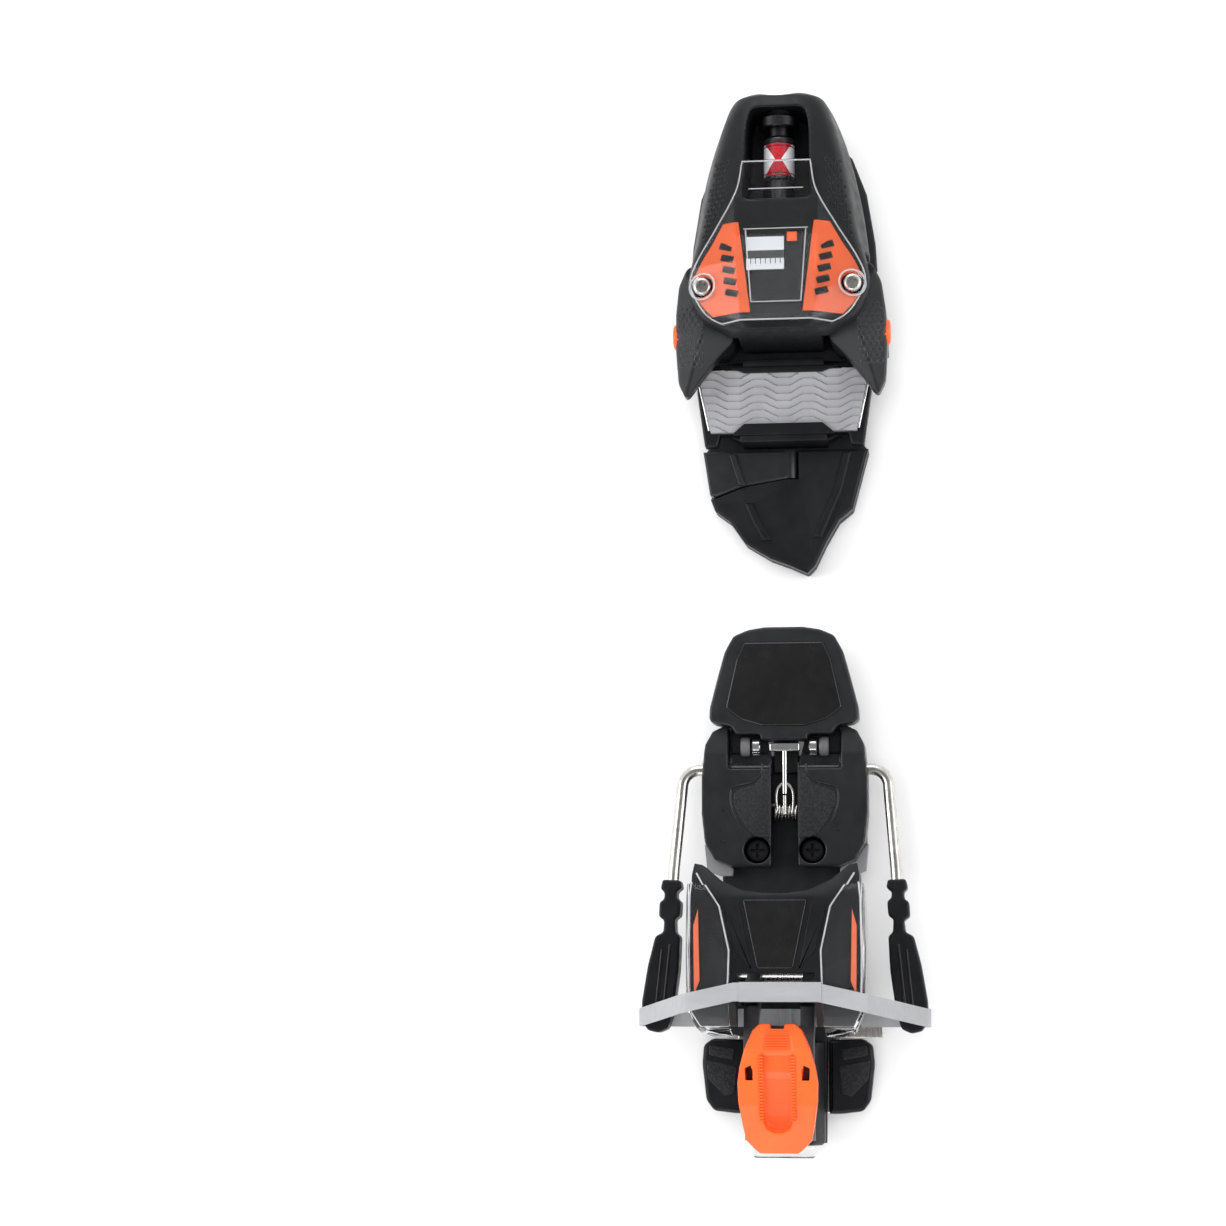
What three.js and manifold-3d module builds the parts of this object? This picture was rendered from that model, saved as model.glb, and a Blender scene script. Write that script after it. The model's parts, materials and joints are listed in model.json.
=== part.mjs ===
// Alpine ski binding: a toe unit with two sprung wings and a gliding boot plate,
// and a heel unit with a cup, an opening lever and a ski brake on a length track.
// Millimetres. +X runs to the ski tip, +Y to the skier's left, +Z up from the ski.
import * as THREE from "three";
import { mergeVertices } from "three/addons/utils/BufferGeometryUtils.js";
import Module from "manifold-3d";

const wasm = await Module();
wasm.setup();

const GAP = 0.3; // clearance between neighbouring pieces

// toe unit
const BASE_TOP = 5; // top of the toe base plate
const CHASSIS_TOP = 13.7;
const WING_BAY = { front: 9, inner: 16.3, floor: 9.5, roof: 40.6 };
const PIVOT = { x: -6, y: 29, r: 2.6, head: 3.4 }; // wing pivot screws
const SPRING_Z = 38; // height of the toe spring's axis; its radii are in SPRING
const SPRING = {
  barrel: 6.2, collar: 4.8, head: 8, shank: 2.6, coil: 4.3, wire: 1, nut: 9.6, bore: 10.8,
};
const WING = { low: 10, shelf: 23.3 };
const PAD = { low: 17.7, high: 20.5 }; // grey gliding pad
const FLAP = { y: -1.5, z: 8.8, r: 3.2, front: -62.9, rear: -74 }; // height lever hinge

// heel unit
const TRACK = { front: -186, rear: -322, half: 20, top: 3.6 };
const CARRIAGE = { low: 4, high: 9.6 };
const BRAKE_AXIS = { x: -190.5, z: 19 };
const WIRE_R = 2.2; // brake arm wire
const LOBE_TOP = 24.5;
const AXLE = { x: -272, z: 34, r: 2.9 }; // common axle of cup and lever
const CASE_Z = 18; // height of the heel spring's axis

// Toe housing sections, front to back:
// x, bottom z, flank y z, shoulder y z, crest y z, middle z
const SECTIONS = [
  [74, 22, 14, 30, 13, 39, 8.5, 42.5, 42.5],
  [72, 16, 18.6, 28, 17, 41, 10.5, 45, 45],
  [63, 14, 23.6, 27, 20.5, 44, 13, 48.5, 48.5],
  [49, 14, 28.2, 28, 24, 46, 15, 51.5, 51.5],
  [30, 14, 32.4, 29, 27.5, 48, 16, 54.5, 54.5],
  [16, 14, 34.4, 30, 30, 48.5, 16, 56, 56],
  [4, 14, 35.8, 32, 33.5, 48, 15.5, 56, 56],
  [-4, 14, 36.5, 34, 35, 47, 15, 56, 56],
  [-12, 14, 34, 36, 32, 47.5, 14.5, 56, 56],
  [-18, 14, 30, 38, 27.5, 48, 14, 56, 56],
  [-24, 14, 19, 40, 18, 48, 13, 55, 55],
];

// ---------- shape helpers ----------

function fromTriangles(points, faces) {
  const g = new THREE.BufferGeometry();
  g.setAttribute("position", new THREE.Float32BufferAttribute(points.flat(), 3));
  g.setIndex(faces.flat());
  return g;
}

function volumeOf(points, faces) {
  const [a, b, c] = [new THREE.Vector3(), new THREE.Vector3(), new THREE.Vector3()];
  return faces.reduce((sum, [i, j, k]) => {
    a.fromArray(points[i]);
    b.fromArray(points[j]);
    c.fromArray(points[k]);
    return sum + a.dot(b.cross(c)) / 6;
  }, 0);
}

// Closed body through a row of rings with equal counts; flat(p) gives a ring's 2-D view.
function stack(rings, flat) {
  const n = rings[0].length;
  const points = rings.flat();
  const faces = [];
  for (let r = 0; r + 1 < rings.length; r++)
    for (let i = 0; i < n; i++) {
      const j = (i + 1) % n;
      const [a, b] = [r * n + i, r * n + j];
      faces.push([a, b, b + n], [a, b + n, a + n]);
    }
  const cap = (ring) =>
    THREE.ShapeUtils.triangulateShape(
      ring.map((p, i) => new THREE.Vector2(...flat(p, i))),
      [],
    );
  const turn = sideTurn(rings, flat);
  for (const [i, j, k] of cap(rings[0])) faces.push(turn > 0 ? [i, k, j] : [i, j, k]);
  const last = (rings.length - 1) * n;
  for (const [i, j, k] of cap(rings.at(-1)))
    faces.push(turn > 0 ? [last + i, last + j, last + k] : [last + i, last + k, last + j]);
  if (volumeOf(points, faces) < 0) faces.forEach((f) => f.reverse());
  return fromTriangles(points, faces);
}

// Sense of a ring in its 2-D view: triangulateShape always answers anticlockwise.
function sideTurn(rings, flat) {
  return THREE.ShapeUtils.area(
    rings[0].map((p, i) => new THREE.Vector2(...flat(p, i))),
  );
}

const VIEWS = {
  x: { lift: ([a, b], t) => [t, a, b], flat: ([, y, z]) => [y, z] },
  y: { lift: ([a, b], t) => [a, t, b], flat: ([x, , z]) => [x, z] },
  z: { lift: ([a, b], t) => [a, b, t], flat: ([x, y]) => [x, y] },
};

// Outline moved inwards by d on every edge.
function inset(outline, d) {
  const pts = outline.map(([a, b]) => new THREE.Vector2(a, b));
  const side = Math.sign(THREE.ShapeUtils.area(pts));
  const n = pts.length;
  const edge = (i) => {
    const e = pts[(i + 1) % n].clone().sub(pts[i]).normalize();
    return new THREE.Vector2(-e.y, e.x).multiplyScalar(side);
  };
  return pts.map((p, i) => {
    const [u, v] = [edge((i + n - 1) % n), edge(i)];
    const k = d / Math.max(0.4, 1 + u.dot(v));
    return [p.x + (u.x + v.x) * k, p.y + (u.y + v.y) * k];
  });
}

// Prism of an outline along an axis, with optional chamfers at its start and end.
function prism(axis, outline, from, to, { start = 0, end = 0 } = {}) {
  const { lift, flat } = VIEWS[axis];
  const dir = Math.sign(to - from);
  const rings = [];
  if (start) rings.push(inset(outline, start).map((p) => lift(p, from)));
  rings.push(outline.map((p) => lift(p, from + dir * start)));
  rings.push(outline.map((p) => lift(p, to - dir * end)));
  if (end) rings.push(inset(outline, end).map((p) => lift(p, to)));
  return stack(rings, flat);
}

const circle = (r, [cx, cy], count = 24) =>
  Array.from({ length: count }, (_, i) => {
    const a = (2 * Math.PI * (i + 0.5)) / count;
    return [cx + r * Math.cos(a), cy + r * Math.sin(a)];
  });

const rod = (axis, r, centre, from, to, count = 20, chamfers = {}) =>
  prism(axis, circle(r, centre, count), from, to, chamfers);

const box = (x0, x1, y0, y1, z0, z1) =>
  prism("z", [[x0, y0], [x1, y0], [x1, y1], [x0, y1]], z0, z1);

// Both halves of an outline given for +Y only.
const mirrored = (half) => [...half, ...half.map(([x, y]) => [x, -y]).reverse()];

// The same outline on the other side when side is -1.
const onSide = (outline, side) => outline.map(([x, y]) => [x, side * y]);

// Round wire along a path of points.
function wire(path, r, count = 10) {
  const pts = path.map((p) => new THREE.Vector3(...p));
  const tangents = pts.map((p, i) =>
    pts[Math.min(i + 1, pts.length - 1)]
      .clone()
      .sub(pts[Math.max(i - 1, 0)])
      .normalize(),
  );
  let u = new THREE.Vector3(0, 0, 1).cross(tangents[0]);
  if (u.length() < 0.1) u = new THREE.Vector3(1, 0, 0).cross(tangents[0]);
  u.normalize();
  const rings = pts.map((p, i) => {
    u = u.clone().addScaledVector(tangents[i], -u.dot(tangents[i])).normalize();
    const v = tangents[i].clone().cross(u);
    return circle(r, [0, 0], count).map(([a, b]) =>
      p.clone().addScaledVector(u, a).addScaledVector(v, b).toArray(),
    );
  });
  const view = circle(1, [0, 0], count);
  return stack(rings, (_, i) => view[i]);
}

// Coil spring along X.
function coil(from, to, radius, wireR, turns, [cy, cz]) {
  const steps = turns * 12;
  const path = Array.from({ length: steps + 1 }, (_, i) => {
    const a = (2 * Math.PI * i) / 12;
    const x = from + ((to - from) * i) / steps;
    return [x, cy + radius * Math.cos(a), cz + radius * Math.sin(a)];
  });
  return wire(path, wireR, 6);
}

function solid(geometry) {
  const g = geometry.clone();
  g.deleteAttribute("normal");
  g.deleteAttribute("uv");
  const m = mergeVertices(g, 1e-4);
  return new wasm.Manifold(
    new wasm.Mesh({
      numProp: 3,
      vertProperties: new Float32Array(m.attributes.position.array),
      triVerts: new Uint32Array(m.index.array),
    }),
  );
}

function geometryOf(body) {
  const mesh = body.getMesh();
  const g = new THREE.BufferGeometry();
  const p = new Float32Array(mesh.numVert * 3);
  for (let i = 0; i < mesh.numVert; i++)
    for (let k = 0; k < 3; k++)
      p[3 * i + k] = mesh.vertProperties[i * mesh.numProp + k];
  g.setAttribute("position", new THREE.BufferAttribute(p, 3));
  g.setIndex(new THREE.BufferAttribute(new Uint32Array(mesh.triVerts), 1));
  return g;
}

const join = (first, ...rest) =>
  geometryOf(rest.reduce((s, g) => s.add(solid(g)), solid(first)));
const cut = (first, ...tools) =>
  geometryOf(tools.reduce((s, g) => s.subtract(solid(g)), solid(first)));
const overlap = (first, ...rest) =>
  geometryOf(rest.reduce((s, g) => s.intersect(solid(g)), solid(first)));

// ---------- materials and assembly ----------

const PAINT = {
  black_plastic: [0x1c1d1f, 0.55, 0],
  satin_plastic: [0x26272a, 0.45, 0],
  chassis_plastic: [0x2b2c2f, 0.6, 0],
  clear_plastic: [0xbfc6c9, 0.08, 0],
  orange_plastic: [0xf05a1e, 0.4, 0],
  grey_pad: [0x96969b, 0.4, 0.1],
  steel: [0xb4b4b0, 0.3, 1],
  dark_steel: [0x55565a, 0.4, 1],
  aluminium: [0x8a8b8e, 0.4, 1],
  label: [0xe4e4e0, 0.5, 0],
  band: [0xcfd0d6, 0.5, 0],
};

const root = new THREE.Group();

function add(name, geometry, slot) {
  const [color, roughness, metalness] = PAINT[slot];
  const flat = geometry.index ? geometry.toNonIndexed() : geometry;
  flat.computeVertexNormals();
  const material = new THREE.MeshStandardMaterial({ color, roughness, metalness });
  const mesh = new THREE.Mesh(flat, material);
  mesh.name = name;
  root.add(mesh);
}

// ---------- toe unit ----------

const TOE_OUTLINE_FRONT = [
  [69, 13], [65, 19], [56, 26.6], [40, 32.4], [20, 35.6], [10, 36.4], [-8, 35], [-26, 34.5],
];
const TAIL_OUTLINE = [
  [-62.6, 32.8], [-82, 29.7], [-86.5, 28], [-91, 22], [-100, 15.8], [-106, 6],
  [-109, -2], [-112, -8.5], [-109, -11.5], [-100, -15.8], [-91, -21], [-86.5, -26.5],
  [-82, -27.7], [-62.6, -32.8],
];

function toeBasePlate() {
  const left = [...TOE_OUTLINE_FRONT, [-28, 32], [-60, 31]];
  const right = left.map(([x, y]) => [x, -y]).reverse();
  return prism("z", [...left, ...TAIL_OUTLINE, ...right], 0, BASE_TOP, { end: 0.8 });
}

function toeChassis() {
  const low = mirrored(TOE_OUTLINE_FRONT.map(([x, y]) => [x - 0.6, y - 0.6]));
  const front = mirrored([
    [68, 12.5], [64, 19.6], [55, 27.6], [40, 33.2], [20, 36.4], [9.4, 37],
  ]);
  const spine = box(-22, 12, -16, 16, 9, CHASSIS_TOP);
  const bores = [1, -1].map((s) =>
    rod("z", PIVOT.r + GAP, [PIVOT.x, s * PIVOT.y], 4, 12, 16));
  return cut(
    join(
      prism("z", low, BASE_TOP + GAP, WING_BAY.floor),
      prism("z", front, 9, CHASSIS_TOP, { end: 0.7 }),
      spine,
    ),
    ...bores,
  );
}

const lerp = (a, b, t) => a + (b - a) * t;

// One housing section at any x, in the column order of SECTIONS.
function sectionAt(x) {
  const i = Math.max(0, SECTIONS.findIndex(([sx]) => sx <= x) - 1);
  const [a, b] = [SECTIONS[i], SECTIONS[i + 1]];
  const t = (x - a[0]) / (b[0] - a[0]);
  return a.map((v, k) => lerp(v, b[k], t));
}

// Height of the housing's roof at x, y.
function roof(x, y) {
  const [, , , , shoulderY, shoulderZ, crestY, crestZ] = sectionAt(x);
  const t = (Math.abs(y) - crestY) / (shoulderY - crestY);
  return t < 0 ? crestZ : lerp(crestZ, shoulderZ, t);
}

// Thin skin over the roof: rows of [x, y columns], between two heights above it.
function roofSkin(rows, low, high) {
  const rings = rows.map(([x, ...ys]) => [
    ...ys.map((y) => [x, y, roof(x, y) + high]),
    ...ys.map((y) => [x, y, roof(x, y) + low]).reverse(),
  ]);
  return stack(rings, VIEWS.x.flat);
}

function housingShell() {
  const rings = SECTIONS.map(([x, zb, fy, fz, sy, sz, cy, cz]) =>
    mirroredRing([[fy - 1.5, zb], [fy, fz], [sy, sz], [cy, cz]], x),
  );
  const slot = prism("z", [
    [66, -10.6], [67, -8], [67, 8], [66, 10.6], [60, 12], [28, 13.2], [28, -13.2],
    [60, -12],
  ], 26, 70);
  const bays = [1, -1].map((s) =>
    prism("z", onSide([
      [WING_BAY.front, WING_BAY.inner], [WING_BAY.front, 60],
      [-60, 60], [-60, WING_BAY.inner],
    ], s), 5, WING_BAY.roof));
  const pivotBores = [1, -1].map((s) =>
    rod("z", PIVOT.r + GAP, [PIVOT.x, s * PIVOT.y], 30, 70, 16));
  return cut(
    stack(rings, VIEWS.x.flat),
    rod("z", 20, [92.6, 0], 0, 80, 48),
    slot,
    rod("x", SPRING.bore, [0, SPRING_Z], -3, 30, 28),
    rod("x", 4, [0, SPRING_Z], 60, 80, 16),
    box(-18.5, -2.6, -17, 17, 22, 39),
    ...bays,
    ...pivotBores,
    roofSkin(coverRows(), -0.5, 8),
  );
}

// Both halves of a cross-section given for +Y only.
const twoSided = (half) => [...half, ...half.map(([y, z]) => [-y, z]).reverse()];

const mirroredRing = (half, x) => twoSided(half).map(([y, z]) => [x, y, z]);

// Edge of the clear cover: x, half width.
const COVER_EDGE = [
  [43, 13.6], [30, 16], [16, 24], [4, 31.6], [-4, 34.4], [-12, 31.4], [-18, 27],
  [-21.5, 21],
];
const coverRows = () =>
  COVER_EDGE.map(([x, edge]) => {
    const crest = Math.min(edge - 0.4, sectionAt(x)[6]);
    return [x, edge, crest, -crest, -edge];
  });

function clearCover() {
  const rows = coverRows();
  const holes = [1, -1].map((s) =>
    rod("z", PIVOT.head + 0.8, [PIVOT.x, s * PIVOT.y], 40, 70, 20));
  return cut(roofSkin(rows, 1.4, 3), ...holes);
}

function orangeInsert(side) {
  const rows = [
    [18, 14.4, 20.6], [10, 13.4, 25.4], [4, 12.7, 29.4], [-4, 11.7, 32.8],
    [-12, 10.7, 30], [-17.8, 10, 25.2],
  ].map(([x, inner, outer]) => [x, side * outer, side * sectionAt(x)[6], side * inner]);
  const hole = rod("z", PIVOT.head + 0.9, [PIVOT.x, side * PIVOT.y], 40, 70, 20);
  return cut(roofSkin(rows, 0.2, 0.7), hole);
}

function pivotScrew(side) {
  const at = [PIVOT.x, side * PIVOT.y];
  const head = rod("z", PIVOT.head, at, 50.8, 54.2, 20, { end: 0.5 });
  const recess = [0, Math.PI / 4].map((a) =>
    prism("z", circle(1.7, at, 4).map(([x, y]) => {
      const [dx, dy] = [x - at[0], y - at[1]];
      const [c, s] = [Math.cos(a), Math.sin(a)];
      return [at[0] + dx * c - dy * s, at[1] + dx * s + dy * c];
    }), 52.6, 56));
  return cut(join(head, rod("z", PIVOT.r, at, 5.8, 51, 16)), ...recess);
}

function wing(side) {
  const outline = onSide([
    [5, 22], [6.8, 29], [5, 36], [-2, 39.6], [-12, 41], [-26, 41.4], [-40, 40.8],
    [-44, 38.4], [-43.6, 35.8], [-38, 32.6], [-30, 26.4], [-23, 19.2], [-18, 17.4],
    [-8, 18.4], [0, 19.4],
  ], side);
  const above = prism("y", [[-12, 39.9], [-46, 28.4], [-46, 70], [-12, 70]], -80, 80);
  const below = box(-60, -26.5, -80, 80, 0, WING.shelf);
  const button = rod("y", 5.3, [-20, 28], side * 39.6, side * 50, 24);
  return cut(
    prism("z", outline, WING.low, WING_BAY.roof - 0.7, { start: 0.8, end: 1 }),
    above,
    below,
    rod("z", PIVOT.r + GAP, [PIVOT.x, side * PIVOT.y], 0, 70, 16),
    button,
  );
}

const wingButton = (side) =>
  rod("y", 5, [-20, 28], side * 39.9, side * 42.7, 24, { end: 0.8 });

function wingSled() {
  const block = prism("x", [
    [-15.5, 25], [-14, 23.5], [14, 23.5], [15.5, 25], [15.5, 35], [14, 36.5],
    [-14, 36.5], [-15.5, 35],
  ], -11, -4);
  return join(block, rod("x", 5.5, [0, SPRING_Z - 6], -5, -3, 16));
}

function adjustingScrew() {
  const collar = rod("x", SPRING.collar, [0, SPRING_Z], 56.2, 60, 24, { start: 0.4 });
  const head = rod("x", SPRING.head, [0, SPRING_Z], 59.7, 64.6, 28, { start: 0.5, end: 0.8 });
  const shank = rod("x", SPRING.shank, [0, SPRING_Z], -1.4, 57, 16);
  const slots = [
    box(62.2, 70, -0.7, 0.7, SPRING_Z - 2.8, SPRING_Z + 2.8),
    box(62.2, 70, -2.8, 2.8, SPRING_Z - 0.7, SPRING_Z + 0.7),
  ];
  return cut(join(join(head, collar), shank), ...slots);
}

// The front of the barrel slides over the screw's collar.
const springBarrel = () =>
  cut(
    rod("x", SPRING.barrel, [0, SPRING_Z], 38.6, 55.8, 32, { start: 0.6, end: 0.6 }),
    rod("x", SPRING.shank + GAP, [0, SPRING_Z], 36, 60, 16),
    rod("x", SPRING.collar + GAP, [0, SPRING_Z], 50, 60, 24),
  );

const releaseSpring = () => coil(6.2, 37, SPRING.coil, SPRING.wire, 9, [0, SPRING_Z]);

const scalePlate = () =>
  roofSkin([[12, 11.5, -3], [-1, 11.5, -3]], 0.2, 0.5);

const releaseNut = () =>
  cut(
    rod("x", SPRING.nut, [0, SPRING_Z], 0.2, 4.9, 6, { start: 0.5, end: 0.5 }),
    rod("x", SPRING.shank + GAP, [0, SPRING_Z], -5, 9, 16),
  );

const scaleIndicator = () => box(10, 13.6, -8, -4.2, 56.2, 56.7);

function glideCarrier() {
  const bed = prism("z", mirrored([
    [-29, 15], [-31, 22], [-57, 22], [-60, 16],
  ]), 5.4, 11.7);
  return join(
    bed,
    box(-31, -28, -16, 16, 5.4, 21.2),
    box(-61, -57.7, -17, 17, 5.4, 21),
  );
}

function glideTray() {
  const half = [
    [-31.5, 24.6], [-29.2, 25.6], [-28.9, 34.2], [-40, 34.5], [-62, 31.4],
    [-62, 26.4], [-57.3, 25.2],
  ];
  return prism("z", mirrored(half), 12, 17.4, { end: 0.6 });
}

const glidePad = () =>
  prism("z", mirrored([[-31.9, 33.4], [-33, 34], [-56, 29.4], [-56.9, 28.6]]),
    PAD.low, PAD.high, { end: 0.5 });

function tailPlate() {
  const ridge = (path, half, z) => {
    const left = path.map(([x, y]) => [x, y + half]);
    const right = path.map(([x, y]) => [x, y - half]).reverse();
    return prism("z", [...left, ...right], 8, z, { end: 0.6 });
  };
  const pocket = prism("z", [
    [-60, 40], [-60, FLAP.y - FLAP.r - 0.6], [FLAP.rear - 0.5, FLAP.y - FLAP.r - 0.6],
    [FLAP.rear - 0.5, 0], [-77.6, 17], [-82, 28], [-80.5, 40],
  ], 0, 30);
  return cut(
    join(
      prism("z", TAIL_OUTLINE, BASE_TOP + GAP, 11.4, { end: 1 }),
      ridge([[-64, -24.5], [-80, -20.5], [-98, -12.6]], 1.7, 13.4),
      ridge([[-84, 14.4], [-92, 11], [-99, 7]], 1.7, 13.4),
    ),
    pocket,
  );
}

function heightLever() {
  const leaf = prism("z", [
    [FLAP.front, 32.6], [FLAP.front, FLAP.y], [FLAP.rear, FLAP.y], [-77, 17],
    [-81, 27.6], [-80.2, 29.9],
  ], 5.7, 11.9, { end: 0.8 });
  return join(
    leaf,
    rod("x", FLAP.r, [FLAP.y, FLAP.z], FLAP.front, FLAP.rear, 20),
  );
}

function buildToe() {
  add("toe_base_plate", toeBasePlate(), "chassis_plastic");
  add("toe_chassis", toeChassis(), "chassis_plastic");
  add("housing_shell", housingShell(), "black_plastic");
  add("clear_cover", clearCover(), "clear_plastic");
  add("release_scale_plate", scalePlate(), "label");
  add("release_indicator", scaleIndicator(), "orange_plastic");
  add("toe_adjusting_screw", adjustingScrew(), "dark_steel");
  add("spring_barrel", springBarrel(), "aluminium");
  add("toe_release_spring", releaseSpring(), "dark_steel");
  add("toe_release_nut", releaseNut(), "aluminium");
  add("wing_sled", wingSled(), "aluminium");
  for (const [name, side] of [["left", 1], ["right", -1]]) {
    add("orange_insert_" + name, orangeInsert(side), "orange_plastic");
    add("wing_" + name, wing(side), "satin_plastic");
    add("wing_pivot_screw_" + name, pivotScrew(side), "steel");
    add("wing_button_" + name, wingButton(side), "orange_plastic");
  }
  add("glide_carrier", glideCarrier(), "black_plastic");
  add("glide_tray", glideTray(), "black_plastic");
  add("glide_pad", glidePad(), "grey_pad");
  add("tail_plate", tailPlate(), "black_plastic");
  add("height_lever", heightLever(), "satin_plastic");
}

// ---------- heel unit ----------

function heelTrack() {
  const slots = Array.from({ length: 7 }, (_, i) =>
    box(-206 - 14 * i - 5, -206 - 14 * i, -5, 5, -1, 10));
  return cut(
    prism("z", mirrored([
      [TRACK.front, 16], [TRACK.front - 4, TRACK.half], [TRACK.rear + 4, TRACK.half],
      [TRACK.rear, 16],
    ]), 0, TRACK.top, { end: 0.5 }),
    ...slots,
  );
}

function carriage() {
  const plate = prism("z", mirrored([
    [-184, 24], [-187, 30.5], [-222, 31], [-227, 25.2], [-291, 25.2], [-293.5, 15.2],
    [-333, 14.6],
  ]), CARRIAGE.low, CARRIAGE.high, { end: 0.6 });
  const cheeks = [1, -1].map((s) =>
    prism("y", [
      [-262.8, 9], [-262.8, 27], [-266, 38], [-269, 41], [-275, 41], [-278, 38],
      [-281, 27], [-281, 9],
    ], s * 17, s * 24.4));
  const rails = [1, -1].map((s) =>
    prism("z", onSide([
      [-190, TRACK.half + 0.4], [-190, 25], [-290, 25], [-290, TRACK.half + 0.4],
    ], s), 0.4, 5));
  return cut(
    join(plate, ...cheeks, ...rails),
    rod("y", AXLE.r + 0.05, [AXLE.x, AXLE.z], -60, 60, 24),
    box(-335, -298, -4.4, 4.4, 3, 20),
  );
}

const lengthScrew = () =>
  cut(
    rod("x", 3, [0, 7.4], -299, -334.5, 16, { start: 0.5, end: 0.5 }),
    box(-340, -332.6, -0.6, 0.6, 5, 10),
    box(-340, -332.6, -2, 2, 6.8, 8),
  );

function brakeHousing(side) {
  const outline = onSide([
    [-174.4, 8], [-173.2, 23], [-175.6, 28], [-181, 30.8], [-193, 32], [-208, 32],
    [-219, 30.8], [-225.6, 27], [-228, 20.5], [-228, 5.2], [-187, 5.2],
  ], side);
  const at = [-221.8, side * 10.6];
  return cut(
    prism("z", outline, CARRIAGE.high + GAP, LOBE_TOP, { end: 2.2 }),
    box(-190.2, -160, -21.6, 21.6, 16.6, 40),
    box(-184, -160, -21.6, 21.6, 14.4, 40),
    rod("y", WIRE_R + 0.35, [BRAKE_AXIS.x, BRAKE_AXIS.z], -60, 60, 16),
    rod("z", 5.1, at, 14.6, 40, 24),
    rod("z", 2.5, at, 0, 40, 14),
  );
}

function housingScrew(side) {
  const at = [-221.8, side * 10.6];
  const cross = [
    box(at[0] - 2.6, at[0] + 2.6, at[1] - 0.6, at[1] + 0.6, 17.2, 30),
    box(at[0] - 0.6, at[0] + 0.6, at[1] - 2.6, at[1] + 2.6, 17.2, 30),
  ];
  return cut(
    join(
      rod("z", 4.5, at, 14.9, 19, 24, { end: 0.8 }),
      rod("z", 2.2, at, 10, 15.5, 14),
    ),
    ...cross,
  );
}

function brakePad() {
  const outline = mirrored([
    [-135.4, 7], [-136.4, 14], [-138.8, 19.6], [-145, 23], [-156, 26], [-167, 28.6],
    [-170.6, 29.4], [-172.2, 28], [-172.2, 21.4], [-174, 19.8], [-177.4, 19.4], [-177.4, 11.2],
    [-179.4, 10.4],
  ]);
  return cut(
    prism("z", outline, 15.6, 26.4, { start: 1, end: 1.4 }),
    box(-172, -146, -16, 16, 10, 20),
  );
}

const brakeLink = () =>
  join(
    rod("y", 1.8, [-181.9, 21], -6, 6, 14),
    rod("x", 1.9, [0, 21], -182, -200, 14, { end: 0.5 }),
  );

const brakeSpring = () => {
  const steps = 48;
  const path = Array.from({ length: steps + 1 }, (_, i) => {
    const a = (2 * Math.PI * i) / 12;
    const r = 3.4;
    return [
      -205.2 + r * Math.cos(a),
      -3.6 + (7.2 * i) / steps,
      BRAKE_AXIS.z - 3 + r * Math.sin(a),
    ];
  });
  return wire(path, 0.7, 6);
};

const brakeRoller = (side) =>
  join(
    rod("y", 3, [-181.6, 20.4], side * 11.5, side * 20.4, 18),
    rod("y", 3.6, [-181.6, 20.4], side * 19.9, side * 21.1, 18),
  );

// Centre line of a brake arm: out along the brake axis, round a bend, then back.
function armPath(side) {
  const bend = 6.5;
  const corner = Array.from({ length: 7 }, (_, i) => {
    const a = (Math.PI / 2) * (i / 6);
    return [
      BRAKE_AXIS.x - bend + bend * Math.cos(a),
      side * (33.4 + bend * Math.sin(a)),
      BRAKE_AXIS.z + 0.6 * (i / 6),
    ];
  });
  return [
    [BRAKE_AXIS.x, side * 6.2, BRAKE_AXIS.z],
    ...corner,
    [-229, side * 42.6, 24.4],
    [-251, side * 44, 27],
  ];
}

const brakeArm = (side) => wire(armPath(side), WIRE_R, 12);

function brakePaddle(side) {
  const outline = onSide([
    [-233.6, 39.4], [-233.4, 46.6], [-237, 47.4], [-238.4, 46.4], [-241, 46.6],
    [-242, 47.8], [-247.6, 48], [-248.8, 46.6], [-253.4, 47], [-256, 49.6],
    [-266, 52.2], [-280, 54.3], [-287, 54.2], [-290.6, 52], [-291.6, 48], [-290, 44.4],
    [-284, 42.6], [-268, 40.6], [-254, 39.8], [-248.4, 40.8], [-247.4, 39.6],
    [-241.8, 39.2], [-240.6, 40], [-238, 40], [-236.8, 38.8],
  ], side);
  return cut(
    prism("z", outline, 20.4, 31.6, { start: 1, end: 1 }),
    wire(
      [...armPath(side).slice(0, -1), [-251.6, side * 44.04, 27.07]],
      WIRE_R + 0.3,
      12,
    ),
  );
}

const CUP_TOP = 76;
const cupProfile = (lift) => [
  [-228, 70 + lift], [-243, CUP_TOP + lift], [-281, CUP_TOP + lift],
  [-289 - lift * 0.6, 67 + lift], [-291.6 - lift, 53], [-290.6 - lift, 42],
  [-286, 26], [-262, 26], [-257, 46], [-238, 56], [-228, 58.5],
];
const cupPlan = (grow) =>
  mirrored([
    [-241, 4], [-240, 12], [-236, 20.6], [-230.4, 27], [-229.8, 30 + grow],
    [-234, 30.8 + grow], [-262, 31.2 + grow], [-284, 30.8 + grow],
    [-290 - grow, 27.4 + grow], [-292 - grow, 23],
  ]);

function cupBlock(grow, lift) {
  return overlap(
    prism("z", cupPlan(grow), 10, 80),
    prism("y", cupProfile(lift), -60, 60),
  );
}

function cupHousing() {
  return cut(
    cupBlock(0, 0),
    box(-300, -257.6, -25.2, 25.2, 0, 64),
    box(-300, -270, -14.6, 14.6, 40, 90),
    rod("y", AXLE.r + 0.08, [AXLE.x, AXLE.z], -60, 60, 24),
  );
}

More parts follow.
